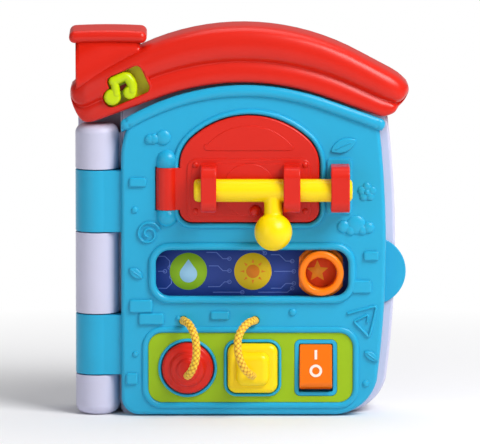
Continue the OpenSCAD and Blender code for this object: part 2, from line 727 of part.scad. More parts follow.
module cover_front() {
  lip = 2.5;
  color("#2fb3dc") difference() {
    union() {
      difference() {
        slab(face, back_front) cover_outline();
        slab(face + wall, floor_y) difference() {
          cover_outline(wall);
          door_outline(door_gap + wall);
          slot_outline(ring_lip + 0.4 + wall);
          sockets(socket_wall);
          for (p = cover_posts) translate([p[0], p[1]]) circle(r = 3.6);
        }
        slab(floor_y - 0.01, back_front + 1) difference() {
          cover_outline(wall);
          for (p = cover_posts) translate([p[0], p[1]]) circle(r = 3.6);
        }
        slab(face - 1, face + 1) panel_outline(0);
      }
      slab(face - 2, face + 2) eave_outline();
      slab(face - rim_h, face + 1) difference() {
        door_outline(door_gap + door_rim);
        door_outline(door_gap + 0.6);
      }
      slab(face - rim_h, face + 1) difference() {
        slot_outline(4.2);
        slot_outline(0);
      }
      slab(face - 1.2, face + 0.5) difference() {
        panel_outline(panel_rim);
        panel_outline(0);
      }
      slab(face - rim_h, face + 1.2) sockets(socket_wall);
      slab(face - rim_h, face + 1.2) rocker_frame(2.6);
      slab(face - 1.5, face + 1) round_rect(54.3, 126.5, 69.8, 161.2, 2);
      slab(face - relief_h, face + 0.5) relief();
      rod_z(door_axis_x, door_axis_y, 119.8, 160, door_knuckle_r - 0.4);
      translate([door_axis_x, door_axis_y, 160]) sphere(r = door_knuckle_r - 0.4);
      translate([door_axis_x, door_axis_y, 124.6]) sphere(r = door_knuckle_r - 0.4);
      cover_knuckle(knuckle_z1 + knuckle_gap, knuckle_z2);
      cover_knuckle(knuckle_z3 + knuckle_gap, knuckle_z4);
    }
    slab(face - 9, floor_y) door_outline(door_gap);
    rod_z(door_axis_x, door_axis_y, 128.6, 156, door_knuckle_r + 0.5);
    translate([door_axis_x, face - 9, 128.6]) cube([10, 12, 27.4]);
    translate([door_axis_x - 9, face - 9, 128.6]) cube([10, 9 - 0.01, 27.4]);
    translate([door_x - door_half - 1.7, face - 9, door_z + 0.5]) cube([2, 11, door_spring - door_z + 5]);
    slab(face - 9, face + lip + 0.1) slot_outline(0);
    slab(face + lip, floor_y + 0.01) slot_outline(ring_lip + 0.4);
    slab(face - 9, floor_y + 0.01) sockets(0);
    for (h = cord_holes) rod_y(h[0], h[1], face - 9, face + wall + 0.1, cord_r + 0.3);
    rod_x(rocker_x - rocker_w / 2 - 1.7, rocker_x + rocker_w / 2 + 1.7, rocker_y, plug_z, 1.5);
    rod_z(door_axis_x, door_axis_y, 123, 162, door_pin_r);
    rod_z(spine_x, yp, 0, knuckle_z5, pin_r + pin_fit);
    for (p = cover_posts) rod_y(p[0], p[1], face + wall + 1, back_front + 1, 1.3);
  }
}
module floor_plate() {
  color("#2aa5cf") difference() {
    slab(floor_y, floor_y + 1.6) cover_outline(wall + 0.3);
    for (p = cover_posts) rod_y(p[0], p[1], floor_y - 1, floor_y + 3, 3.9);
  }
}
module cover_back() {
  color("#2fb3dc") difference() {
    union() {
      slab(back_front, yp - cover_gap) cover_outline();
      slab(back_front, yp - cover_gap) translate([82.2, tab_z]) circle(r = tab_r);
    }
    for (p = cover_posts) {
      rod_y(p[0], p[1], back_front - 1, yp, 1.5);
      rod_y(p[0], p[1], back_front + 0.8, yp, 2.8);
    }
  }
}
module cover_screws() {
  color("#a9a9ae") for (p = cover_posts) {
    rod_y(p[0], p[1], face + wall + 2, back_front + 0.8, 1.25);
    rod_y(p[0], p[1], back_front + 0.8, back_front + 1.8, 2.6);
  }
}
module strap2d(off) {
  ri = bolt_r + strap_gap;
  front = off + ri + strap;
  difference() {
    round_rect(-front, strap_lift - strap_half, front, strap_lift + strap_half, strap_round);
    translate([0, -2 * strap_half]) square([front + 1, 4 * strap_half]);
    translate([-off, 0]) circle(r = ri);
    translate([-off, -ri]) square([off + 1, 2 * ri]);
  }
}
module strap_piece(x0, x1, base) {
  translate([x0, base, bolt_z]) rotate([90, 0, 90]) linear_extrude(height = x1 - x0) strap2d(base - bolt_y);
}
module keeper() {
  color("#e63423") strap_piece(56.7, 68.2, face - 1.5);
}
module left_staple() {
  color("#e63423") strap_piece(-23.6, -14, door_front - pad_h);
}
module right_staple() {
  color("#e63423") strap_piece(27.4, 37.8, door_front - pad_h);
}
module slot_label() {
  color("#27408f") slab(floor_y - label_t, floor_y) slot_outline(1.6);
}
module slide_ring() {
  color("#ff8205") difference() {
    union() {
      rod_y(50.8, slot_mid, face - ring_proud, floor_y - label_t - 0.3, ring_r);
      rod_y(50.8, slot_mid, face + 2.9, floor_y - label_t - 0.3, ring_r + ring_lip);
    }
    rod_y(50.8, slot_mid, face - 20, floor_y + 1, ring_hole_r);
  }
}
module green_panel() {
  color("#9dbf05") slab(face + 0.1, face + 1) difference() {
    panel_outline(-0.2);
    sockets(socket_wall + 0.2);
    rocker_frame(2.8);
  }
}
module round_plug() {
  color("#e63423") difference() {
    union() {
      rod_y(round_x, plug_z, face - 4, floor_y, round_r);
      rod_y(round_x, plug_z, face - 7, floor_y, round_r - 3.4);
      rod_y(round_x, plug_z, face - 10.5, floor_y, round_r - 6.6);
    }
    rod_y(round_x, 27, face - 12, face - 3, cord_r + 0.1);
  }
}
module square_plug() {
  h = square_w / 2;
  color("#ffdf00") difference() {
    union() {
      slab(face - 5, floor_y) round_rect(square_x - h, plug_z - h, square_x + h, plug_z + h, 5.2);
      slab(face - 10.5, floor_y) round_rect(square_x - 9.6, plug_z - 9.6, square_x + 9.6, plug_z + 9.6, 3);
    }
    rod_y(square_x, 27, face - 12, face - 3, cord_r + 0.1);
  }
}
// cords: points along the middle line, depth measured from the cover's face
round_path = [[-34.6, 8, 60], [-34.6, 0, 60], [-33.6, -6, 60.4], [-31.2, -12, 59.6], [-28.6, -17, 56],
  [-26.8, -20, 50.5], [-26.2, -21.4, 44], [-27, -21.6, 37.5], [-29, -20, 32], [-31, -16, 28.4],
  [-31.9, -10.5, 27], [-31.9, -4, 27]];
square_path = [[9.8, 8, 60], [9.8, 0, 60], [8.6, -6, 60.6], [5.6, -11.6, 60], [1.8, -16.4, 56.6],
  [-0.6, -19.6, 51], [-0.8, -21.2, 44.4], [0.8, -21.6, 38], [3.6, -20.2, 32.4], [6.8, -16.2, 28.6],
  [8.4, -10.5, 27], [8.4, -4, 27]];
function unit(v) = v / norm(v);
function cord_ring(p, t, r) = let(u = unit(cross(t, [1, 0, 0])), w = cross(t, u))
  [for (i = [0:9]) p + r * (cos(36 * i) * u + sin(36 * i) * w)];
function along(q, i) = unit(q[min(i + 1, len(q) - 1)] - q[max(i - 1, 0)]);
module cord(path) {
  q = [for (p = path) [p[0], face + p[1], p[2]]];
  loft([for (i = [0:len(q) - 1]) cord_ring(q[i], along(q, i), cord_r)], [[for (i = [0:9]) i]]);
}
module round_cord() {
  color("#ffd91a") cord(round_path);
}
module square_cord() {
  color("#ffd91a") cord(square_path);
}
module cord_knots() {
  color("#ffd91a") for (h = cord_holes) translate([h[0], face + wall + 1.4, h[1]]) rotate([90, 0, 0])
    rotate_extrude() translate([cord_r + 1.5, 0]) circle(r = 1.4, $fn = 32);
}
module at_rocker() {
  translate([rocker_x, rocker_y, plug_z]) rotate([-rocker_tilt, 0, 0]) children();
}
module rocker() {
  h = rocker_h / 2 - 0.4;
  color("#f27400") difference() {
    at_rocker() translate([-rocker_w / 2, 0, 0]) rotate([90, 0, 90]) linear_extrude(height = rocker_w)
      polygon([[3, -5], [3, 5], [-2, h], [-7.5, h], [-7.5, -h], [-2, -h]]);
    rod_x(rocker_x - 20, rocker_x + 20, rocker_y, plug_z, 1.55);
  }
}
module rocker_marks() {
  color("#fbe9de") at_rocker() {
    slab(-7.8, -7.5) translate([0, 7.4]) translate([-0.8, -2.9]) square([1.6, 5.8]);
    slab(-7.8, -7.5) translate([0, -2.6]) difference() {
      circle(r = 3.9);
      circle(r = 2.3);
    }
  }
}
module rocker_pin() {
  color("#b5b8bd") rod_x(rocker_x - rocker_w / 2 - 1.7, rocker_x + rocker_w / 2 + 1.7, rocker_y, plug_z, 1.5);
}
module door() {
  left = door_x - door_half;
  color("#e63423") difference() {
    union() {
      difference() {
        slab(door_front, door_front + door_t) door_outline();
        slab(door_front + 2.2, door_front + door_t + 1) door_outline(-2.2);
      }
      rod_z(door_axis_x, door_axis_y, 129.2, 155.4, door_knuckle_r);
      translate([door_axis_x, door_front, 129.2]) cube([left - door_axis_x + 3, door_t, 26.2]);
      slab(door_front - pad_h, door_front + 1) round_rect(-32.2, 122.8, 44.6, 161.2, 6);
      slab(door_front - pad_h - 0.6, door_front + 1) arc2d(6.2, 142, 15.8, 1.6, 20, 160);
      slab(door_front - 1.6, door_front + 1) for (x = [-27, 40.6]) for (z = [128.8, 157.2])
        translate([x, z]) circle(r = 1.9);
      rod_y(10.2, 128.7, door_front - 3, door_front + 1, 3.2);
      translate([10.2, door_front - 3, 128.7]) sphere(r = 3.2);
    }
    rod_z(door_axis_x, door_axis_y, 120, 165, door_pin_r + 0.05);
  }
}
module door_pin() {
  color("#b5b8bd") rod_z(door_axis_x, door_axis_y, 123, 162, door_pin_r);
}
spigot_r = 4;
module bolt_end_cap() {
  color("#ffdf00") {
    rod_x(bolt_left + 1.5, bolt_left + bolt_cap, bolt_y, bolt_z, bolt_r);
    translate([bolt_left, bolt_y, bolt_z]) rotate([0, 90, 0]) cylinder(r1 = bolt_r - 1.5, r2 = bolt_r, h = 1.5);
    rod_x(bolt_left + 3, bolt_left + bolt_cap + 8, bolt_y, bolt_z, spigot_r);
  }
}
module bolt() {
  l = sqrt(knob_drop * knob_drop + knob_out * knob_out);
  color("#ffdf00") difference() {
    union() {
      rod_x(bolt_left + bolt_cap + 0.3, bolt_right - 2, bolt_y, bolt_z, bolt_r);
      translate([bolt_right - 2, bolt_y, bolt_z]) rotate([0, 90, 0]) cylinder(r1 = bolt_r, r2 = bolt_r - 2, h = 2);
      translate([stem_x, bolt_y, bolt_z]) rotate([180 - atan2(knob_out, knob_drop), 0, 0])
        cylinder(r = stem_r, h = l);
      translate([stem_x, bolt_y - knob_out, bolt_z - knob_drop]) sphere(r = knob_r);
    }
    rod_x(bolt_left, bolt_left + bolt_cap + 9, bolt_y, bolt_z, spigot_r + 0.05);
  }
}

rear_shell();
inner_panel();
roof_shell();
chimney();
note_slider();
note_floor();
spine_pin();
loudspeaker();
speaker_magnet();
circuit_board();
battery_box();
cells();
cell_contacts();
battery_door();
battery_screw();
case_screws();
board_screws();
cover_front();
cover_back();
cover_screws();
keeper();
slot_label();
green_panel();
floor_plate();
slide_ring();
round_plug();
square_plug();
round_cord();
square_cord();
cord_knots();
rocker();
rocker_marks();
rocker_pin();
door();
door_pin();
left_staple();
right_staple();
bolt_end_cap();
bolt();
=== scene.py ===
import math

import bmesh
import bpy
from mathutils import Matrix, Vector
from mathutils.bvhtree import BVHTree


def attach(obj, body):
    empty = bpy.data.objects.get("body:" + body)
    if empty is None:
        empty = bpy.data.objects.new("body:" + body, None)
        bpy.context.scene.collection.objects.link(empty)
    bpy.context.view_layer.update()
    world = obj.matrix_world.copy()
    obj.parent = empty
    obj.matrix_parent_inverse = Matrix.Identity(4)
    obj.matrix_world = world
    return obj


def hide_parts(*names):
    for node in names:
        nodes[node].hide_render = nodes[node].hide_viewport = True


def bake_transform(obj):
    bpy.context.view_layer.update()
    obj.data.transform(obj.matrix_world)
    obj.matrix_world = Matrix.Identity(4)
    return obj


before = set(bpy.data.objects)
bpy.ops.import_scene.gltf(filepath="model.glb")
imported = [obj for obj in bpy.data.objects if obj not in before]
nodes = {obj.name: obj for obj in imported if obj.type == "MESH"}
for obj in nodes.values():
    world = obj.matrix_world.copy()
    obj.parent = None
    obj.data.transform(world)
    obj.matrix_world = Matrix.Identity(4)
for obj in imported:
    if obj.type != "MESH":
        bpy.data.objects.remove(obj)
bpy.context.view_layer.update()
mm = 0.001
faceY = -10.9  # front face of the blue cover, in mm as every size below
partingY = 5.1  # spine axis, where cover and casing meet


def linear(hexColour):
    channels = [int(hexColour[i:i + 2], 16) / 255 for i in (1, 3, 5)]
    return [c / 12.92 if c <= 0.04045 else ((c + 0.055) / 1.055) ** 2.4 for c in channels] + [1.0]


def addNode(tree, kind, links=None, values=None, **settings):
    node = tree.nodes.new("ShaderNode" + kind)
    for key, value in settings.items():
        setattr(node, key, value)
    for key, value in (values or {}).items():
        node.inputs[key].default_value = value
    for key, source in (links or {}).items():
        tree.links.new(source, node.inputs[key])
    return node


# camera: front view from slightly above, as the picture was taken
cameraSetup = {"lens": 485.0, "distance": 4.0, "elevation": 7.0, "aimX": 0.0006, "aimZ": 0.1215}


def placeCamera():
    data = bpy.data.cameras.new("photoCamera")
    data.lens = cameraSetup["lens"]
    data.sensor_width = 36.0
    holder = bpy.data.objects.new("photoCamera", data)
    bpy.context.collection.objects.link(holder)
    tilt = math.radians(cameraSetup["elevation"])
    back = Vector((0, -math.cos(tilt), math.sin(tilt)))
    aim = Vector((cameraSetup["aimX"], faceY * mm, cameraSetup["aimZ"]))
    holder.location = aim + back * cameraSetup["distance"]
    holder.rotation_euler = (math.pi / 2 - tilt, 0, 0)
    bpy.context.scene.camera = holder


placeCamera()
print("camera placed")


def newMaterial(name):
    material = bpy.data.materials.new(name)
    material.use_nodes = True
    return material, material.node_tree, material.node_tree.nodes["Principled BSDF"]


# injection-moulded ABS from a polished tool: even colour, soft broad gloss, faint skin texture
plasticSetup = {"cloudSize": 22, "glossSpread": (0.85, 1.2), "bump": 0.1, "ior": 1.53, "specular": 0.3}


def mouldedPlastic(name, colour, roughness=0.3, grain=0.9, depth=0.02, tint=0.05):
    material, tree, shader = newMaterial(name)
    place = addNode(tree, "TexCoord").outputs["Object"]
    cloud = addNode(tree, "TexNoise", {"Vector": place},
                    {"Scale": 1000 / plasticSetup["cloudSize"], "Detail": 3.0})
    fine = addNode(tree, "TexNoise", {"Vector": place}, {"Scale": 1000 / grain, "Detail": 2.0})
    shade = addNode(tree, "Mix", {0: cloud.outputs["Fac"]}, data_type="RGBA")
    base = linear(colour)
    shade.inputs[6].default_value = [c * (1 - tint) for c in base[:3]] + [1.0]
    shade.inputs[7].default_value = [min(1.0, c * (1 + tint)) for c in base[:3]] + [1.0]
    tree.links.new(shade.outputs[2], shader.inputs["Base Color"])
    low, high = plasticSetup["glossSpread"]
    gloss = addNode(tree, "MapRange", {"Value": fine.outputs["Fac"]},
                    {"To Min": roughness * low, "To Max": roughness * high})
    tree.links.new(gloss.outputs["Result"], shader.inputs["Roughness"])
    bump = addNode(tree, "Bump", {"Height": fine.outputs["Fac"]},
                   {"Strength": plasticSetup["bump"], "Distance": depth * mm})
    tree.links.new(bump.outputs["Normal"], shader.inputs["Normal"])
    shader.inputs["IOR"].default_value = plasticSetup["ior"]
    shader.inputs["Specular IOR Level"].default_value = plasticSetup["specular"]
    return material


red = mouldedPlastic("glossyRedAbs", "#D4200F")
blue = mouldedPlastic("glossySkyBlueAbs", "#22A6D0")
lavender = mouldedPlastic("satinLavenderAbs", "#C9C8DF", roughness=0.38)
yellow = mouldedPlastic("glossyYellowAbs", "#FFD900")
lime = mouldedPlastic("glossyLimeAbs", "#BFD600")
# painted light: the note's floor is the same lime plastic as the note, coloured brighter than it to make up for
# the shade in its window
limeFloorPaintedLight = mouldedPlastic("limeAbsWithPaintedLight", "#D6EE10")
green = mouldedPlastic("satinLeafGreenAbs", "#98BC05", roughness=0.38)
orange = mouldedPlastic("glossyOrangeAbs", "#FF7D05")
rockerOrange = mouldedPlastic("glossyDeepOrangeAbs", "#F07200")
whiteInk = mouldedPlastic("padPrintedWhiteInk", "#FBE6DA", roughness=0.45)
darkCone = mouldedPlastic("blackPaperCone", "#2A2A2C", roughness=0.8, grain=0.5)
boardGreen = mouldedPlastic("solderMaskGreen", "#2F7D4A", roughness=0.45)
cellSleeve = mouldedPlastic("shrinkSleeveGraphite", "#3D3D42", roughness=0.35)


# bright zinc-plated steel: metal with fine rolled streaks that break up the gloss
def platedSteel(name, colour):
    material, tree, shader = newMaterial(name)
    place = addNode(tree, "TexCoord").outputs["Object"]
    streak = addNode(tree, "TexNoise", {"Vector": place}, {"Scale": 1000 / 0.6, "Detail": 3.0})
    gloss = addNode(tree, "MapRange", {"Value": streak.outputs["Fac"]}, {"To Min": 0.25, "To Max": 0.45})
    tree.links.new(gloss.outputs["Result"], shader.inputs["Roughness"])
    shader.inputs["Base Color"].default_value = linear(colour)
    shader.inputs["Metallic"].default_value = 1.0
    return material


steel = platedSteel("zincPlatedSteel", "#B5B8BD")
print("materials made")


def toMesh(shape, name):
    bmesh.ops.scale(shape, vec=(mm, mm, mm), verts=shape.verts)
    for side in shape.faces:
        side.smooth = True
    mesh = bpy.data.meshes.new(name)
    shape.to_mesh(mesh)
    shape.free()
    return mesh


def newPiece(name, mesh, material, body, *replaced):
    piece = bpy.data.objects.new(name, mesh)
    bpy.context.collection.objects.link(piece)
    mesh.materials.clear()
    mesh.materials.append(material)
    if body:
        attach(piece, body)
    if replaced:
        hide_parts(*replaced)
    return piece


def crispFlats(piece):
    # keep flat faces flat beside rounded edges
    weigh = piece.modifiers.new("flatShading", "WEIGHTED_NORMAL")
    weigh.weight = 80
    weigh.keep_sharp = True
    return piece


def roundRect(x0, z0, x1, z1, r, steps=8):
    corners = [(x1 - r, z1 - r, 0), (x0 + r, z1 - r, 90), (x0 + r, z0 + r, 180), (x1 - r, z0 + r, 270)]
    return [p for x, z, a in corners for p in arc(x, z, r, a, a + 90, steps)]


def arc(x, z, r, start, end, steps):
    angles = [math.radians(start + (end - start) * i / steps) for i in range(steps + 1)]
    return [(x + r * math.cos(a), z + r * math.sin(a)) for a in angles]


def disc(x, z, r, steps=48):
    return arc(x, z, r, 0, 360 - 360 / steps, steps - 1)


def raisePlate(shape, outline, backY, frontY, radius, segments=4):
    # a plate on an outline, rounded along its front edge
    base = shape.faces.new([shape.verts.new((x, backY, z)) for x, z in outline])
    grown = bmesh.ops.extrude_face_region(shape, geom=[base])["geom"]
    bmesh.ops.translate(shape, vec=(0, frontY - backY, 0),
                        verts=[v for v in grown if isinstance(v, bmesh.types.BMVert)])
    front = [f for f in grown if isinstance(f, bmesh.types.BMFace)][0]
    bmesh.ops.bevel(shape, geom=list(front.edges), offset=radius, offset_type="OFFSET", segments=segments,
                    profile=0.5, affect="EDGES", material=-1, clamp_overlap=False)


def raiseFrame(shape, outline, width, backY, frontY, radius):
    # a plate with an opening that keeps an even width, rounded along both front edges
    base = shape.faces.new([shape.verts.new((x, backY, z)) for x, z in outline])
    ring = bmesh.ops.inset_region(shape, faces=[base], thickness=width)["faces"]
    bmesh.ops.delete(shape, geom=[base], context="FACES")
    grown = bmesh.ops.extrude_face_region(shape, geom=ring)["geom"]
    bmesh.ops.translate(shape, vec=(0, frontY - backY, 0),
                        verts=[v for v in grown if isinstance(v, bmesh.types.BMVert)])
    front = {f for f in grown if isinstance(f, bmesh.types.BMFace)}
    lips = [e for f in front for e in f.edges if any(other not in front for other in e.link_faces)]
    bmesh.ops.bevel(shape, geom=list(set(lips)), offset=radius, offset_type="OFFSET", segments=4, profile=0.5,
                    affect="EDGES", material=-1, clamp_overlap=False)


def dome(shape, x, z, r, height, y=faceY):
    made = bmesh.ops.create_uvsphere(shape, u_segments=28, v_segments=16, radius=1.0)["verts"]
    bmesh.ops.scale(shape, vec=(r, height, r), verts=made)
    bmesh.ops.translate(shape, vec=(x, y, z), verts=made)


def tubeAlong(shape, points, radius, closed=False, height=None, y=faceY):
    # a round bead along a line on the face, flattened to the given height
    line = bpy.data.curves.new("bead", "CURVE")
    line.dimensions = "3D"
    spline = line.splines.new("POLY")
    spline.points.add(len(points) - 1)
    for spot, p in zip(spline.points, points):
        spot.co = (p[0], y if len(p) == 2 else p[1], p[-1], 1)
    spline.use_cyclic_u = closed
    line.bevel_depth = radius
    line.bevel_resolution = 5
    line.use_fill_caps = True
    holder = bpy.data.objects.new("bead", line)
    bpy.context.collection.objects.link(holder)
    bpy.context.view_layer.update()
    mesh = bpy.data.meshes.new_from_object(holder.evaluated_get(bpy.context.evaluated_depsgraph_get()))
    known = set(shape.verts)
    shape.from_mesh(mesh)
    fresh = [v for v in shape.verts if v not in known]
    if height:
        bmesh.ops.translate(shape, vec=(0, -y, 0), verts=fresh)
        bmesh.ops.scale(shape, vec=(1, height / radius, 1), verts=fresh)
        bmesh.ops.translate(shape, vec=(0, y, 0), verts=fresh)
    if not closed:
        for end in (points[0], points[-1]):
            dome(shape, end[0], end[-1], radius, height or radius, y if len(end) == 2 else end[1])
    bpy.data.objects.remove(holder)
    bpy.data.meshes.remove(mesh)


def spun(shape, profile, centre, axis, steps=96):
    # turn a profile of (radius, along) about an axis through centre
    way = Vector(axis).normalized()
    side = way.orthogonal().normalized()
    middle = Vector(centre)
    ring = [shape.verts.new(middle + side * r + way * a) for r, a in profile]
    edges = [shape.edges.new(pair) for pair in zip(ring, ring[1:])]
    bmesh.ops.spin(shape, geom=ring + edges, cent=middle, axis=way, angle=math.tau, steps=steps,
                   use_merge=True, use_duplicate=False)
    bmesh.ops.remove_doubles(shape, verts=shape.verts, dist=0.0005)
    bmesh.ops.recalc_face_normals(shape, faces=shape.faces)


def rounded(points, steps=5):
    # (radius, along, fillet) corners turned into a smooth profile
    line = []
    for i, (r, a, fillet) in enumerate(points):
        here = Vector((r, a))
        if not fillet or i in (0, len(points) - 1):
            line.append((r, a))
            continue
        before = Vector(points[i - 1][:2]) - here
        after = Vector(points[i + 1][:2]) - here
        start = here + before.normalized() * min(fillet, before.length * 0.49)
        end = here + after.normalized() * min(fillet, after.length * 0.49)
        for k in range(steps + 1):
            t = k / steps
            spot = start * (1 - t) ** 2 + here * (2 * t * (1 - t)) + end * t ** 2
            line.append((spot.x, spot.y))
    return line


def clearRelief(shape, level):
    # take off what stands before the face and close the face again, with its openings
    everything = list(shape.verts) + list(shape.edges) + list(shape.faces)
    bmesh.ops.bisect_plane(shape, geom=everything, dist=1e-7, plane_co=(0, level * mm, 0), plane_no=(0, 1, 0))
    raised = [f for f in shape.faces if all(v.co.y < level * mm + 2e-6 for v in f.verts)]
    bmesh.ops.delete(shape, geom=raised, context="FACES")
    rim = [e for e in shape.edges if e.is_boundary]
    bmesh.ops.triangle_fill(shape, use_beauty=True, use_dissolve=True, edges=rim, normal=(0, -1, 0))


edgeSetup = {"sharp": math.radians(33), "flat": math.radians(0.4), "segments": 3}


def roundedCopy(nodeName, name, material, body, radius, rules=(), clearTo=None):
    # the solid's own surface with rounded edges; rules give some edges a fuller radius
    shape = bmesh.new()
    shape.from_mesh(nodes[nodeName].data)
    bmesh.ops.remove_doubles(shape, verts=shape.verts, dist=1e-6)
    bmesh.ops.dissolve_limit(shape, angle_limit=edgeSetup["flat"], verts=shape.verts, edges=shape.edges)
    if clearTo is not None:
        bmesh.ops.triangulate(shape, faces=[f for f in shape.faces if len(f.verts) > 4], ngon_method="BEAUTY")
        clearRelief(shape, clearTo)
    widest = max([radius] + [rule[1] for rule in rules])
    weight = shape.edges.layers.float.new("bevel_weight_edge")
    for edge in shape.edges:
        if len(edge.link_faces) != 2 or edge.calc_face_angle(0) < edgeSetup["sharp"]:
            continue
        middle = (edge.verts[0].co + edge.verts[1].co) / (2 * mm)
        size = next((r for test, r in rules if test(middle)), radius)
        edge[weight] = size / widest
    for side in shape.faces:
        side.smooth = True
    mesh = bpy.data.meshes.new(name)
    shape.to_mesh(mesh)
    shape.free()
    piece = newPiece(name, mesh, material, body, nodeName)
    fillet = piece.modifiers.new("roundedEdge", "BEVEL")
    fillet.width = widest * mm
    fillet.segments = edgeSetup["segments"]
    fillet.limit_method = "WEIGHT"
    fillet.use_clamp_overlap = False
    return crispFlats(piece)


# roof: two rolls over an arch, lofted through cross-sections
roofShape = {"archX": 2.5, "low": 208.3, "groove": 221.0, "top": 243.4, "front": 20.0, "rear": 14.0,
             "lowArch": (150, 19.5), "lowArchLeft": (150, 20.5), "grooveArch": (160, 24), "topArch": (150, 28),
             "deepest": 25.2, "rollStep": 2,
             "taper": ((-90, 3.4), (-84, 2.2), (-76, 1), (-68, 0.4))}  # x and how far the front steps back


def archDrop(x, r, degrees):
    # fall of an arch of radius r that runs on straight past the given angle
    d, a = abs(x - roofShape["archX"]), math.radians(degrees)
    if d < r * math.sin(a):
        return r - math.sqrt(r * r - d * d)
    return r * (1 - math.cos(a)) + (d - r * math.sin(a)) * math.tan(a)


def roofStation(x, setBack):
    side = "lowArch" if x > 0 else "lowArchLeft"
    low = roofShape["low"] - min(roofShape["deepest"], archDrop(x, *roofShape[side]))
    groove = roofShape["groove"] - archDrop(x, *roofShape["grooveArch"])
    top = roofShape["top"] - archDrop(x, *roofShape["topArch"])
    front = roofShape["front"] - setBack
    return (x, low, groove, top, front - roofShape["rollStep"], front)


roofTips = {  # x, lower edge, groove and top from the arch's apex, depth of lower and upper roll
    "left": [(-104.6, -8.4, -8.0, -5.4, 4, 5), (-103.6, -13.2, -11.6, -2.6, 7, 9.6),
             (-101, -19.2, -15, -0.3, 9, 12), (-98, -23.7, -15.9, 1.3, 10.6, 13.8),
             (-95, -25, -16, 2.9, 12.4, 15.6)],
    "right": [(93, -20, -11.8, 6.9, 17.4, 19.4), (95.6, -19, -12.8, 5.4, 16.8, 18.9),
              (97.4, -17.2, -13.5, 4.2, 14.6, 18.4), (98.5, -15, -13.7, 3.5, 10.6, 18),
              (101, -13.1, -12.5, 1.4, 9.6, 16.6), (103.6, -9.4, -8.9, -1.2, 8.6, 13.4),
              (105.2, -5.9, -5.5, -4.2, 6, 8)],
}


def tipStations(end):
    return [(x, *[roofShape["low"] + v for v in rest[:3]], *rest[3:]) for x, *rest in roofTips[end]]


def roofSection(station):
    x, low, groove, top, lowDepth, topDepth = station
    lower, upper, rear = groove - low, top - groove, roofShape["rear"]
    line = [(rear, low), (2, low - 0.3), (-lowDepth * 0.8, low - 0.9), (-lowDepth * 0.98, low + 0.06 * lower),
            (-lowDepth, low + 0.45 * lower), (-lowDepth * 0.96, low + 0.76 * lower),
            (-lowDepth * 0.87, groove - 0.04 * lower), (-lowDepth * 0.87, groove + 0.02 * upper),
            (-topDepth * 0.94, groove + 0.12 * upper), (-topDepth, groove + 0.35 * upper),
            (-topDepth * 0.985, groove + 0.6 * upper), (-topDepth * 0.9, groove + 0.83 * upper),
            (-topDepth * 0.7, groove + 0.955 * upper), (-topDepth * 0.4, top - 0.01 * upper),
            (2, top), (rear, top)]
    return [(x, partingY + y, z) for y, z in line]


def makeRoof():
    full = tipStations("left") + [roofStation(x, back) for x, back in roofShape["taper"]]
    full += [roofStation(x, 0) for x in range(-60, 85, 8)] + [roofStation(89, 0.2)] + tipStations("right")
    shape = bmesh.new()
    loops = []
    for station in full:
        ring = [shape.verts.new(p) for p in roofSection(station)]
        loops.append([shape.edges.new((a, b)) for a, b in zip(ring, ring[1:] + ring[:1])])
    for near, far in zip(loops, loops[1:]):
        bmesh.ops.bridge_loops(shape, edges=near + far)
    for end in (loops[0], loops[-1]):
        bmesh.ops.contextual_create(shape, geom=end)
    bmesh.ops.recalc_face_normals(shape, faces=shape.faces)
    crease = shape.edges.layers.float.new("crease_edge")
    for edge in shape.edges:  # the flat back keeps its edge
        if all(abs(v.co.y - partingY - roofShape["rear"]) < 0.01 for v in edge.verts):
            edge[crease] = 1.0
    piece = newPiece("roofRolls", toMesh(shape, "roofRolls"), red, None)
    soft = piece.modifiers.new("softRolls", "SUBSURF")
    soft.levels = soft.render_levels = 3
    return piece


def applied(piece):
    # the piece with its modifiers worked into its mesh
    bpy.context.view_layer.update()
    mesh = bpy.data.meshes.new_from_object(piece.evaluated_get(bpy.context.evaluated_depsgraph_get()))
    old = piece.data
    piece.modifiers.clear()
    piece.data = mesh
    bpy.data.meshes.remove(old)
    return piece


noteSetup = {"x": -69.5, "z": 205.57, "tilt": 24.0, "floorY": -5.1, "frontY": -13.4,
             "low": (-16.6, -8.8, 13.6, 3.5, 5.4), "high": (-10.4, 10.2, 4.0), "notch": 1.2,
             "lipR": 0.9, "lipOut": 0.35, "lipSunk": 0.8}


def noteTurn():
    spot = Vector((noteSetup["x"], 0, noteSetup["z"]))
    return Matrix.Translation(spot) @ Matrix.Rotation(-math.radians(noteSetup["tilt"]), 4, "Y")


def noteWindow(grow=0.0):
    # the window keeps close to the note on its left, with a step above the first ball
    x0, z0, x1, step, r = noteSetup["low"]
    left, top, corner = noteSetup["high"]
    notch = noteSetup["notch"]
    outline = arc(x1 - corner, z0 + corner, corner + grow, 270, 360, 8)
    outline += arc(x1 - corner, top - corner, corner + grow, 0, 90, 8)
    outline += arc(left + corner, top - corner, corner + grow, 90, 180, 8)
    outline += arc(left - notch, step + notch, notch - grow, 0, -90, 4)
    outline += arc(x0 + r, step - r, r + grow, 90, 180, 8)
    return outline + arc(x0 + r, z0 + r, r + grow, 180, 270, 8)


def cutNoteWindow(roof):
    cutter = bmesh.new()
    raisePlate(cutter, noteWindow(), noteSetup["floorY"] + 1.0, -40, 0.01, 1)
    bmesh.ops.transform(cutter, matrix=noteTurn(), verts=cutter.verts)
    bmesh.ops.recalc_face_normals(cutter, faces=cutter.faces)
    tool = bpy.data.objects.new("windowCutter", toMesh(cutter, "windowCutter"))
    bpy.context.collection.objects.link(tool)
    cut = roof.modifiers.new("noteWindow", "BOOLEAN")
    cut.operation = "DIFFERENCE"
    cut.solver = "EXACT"
    cut.object = tool
    applied(roof)
    bpy.data.objects.remove(tool)


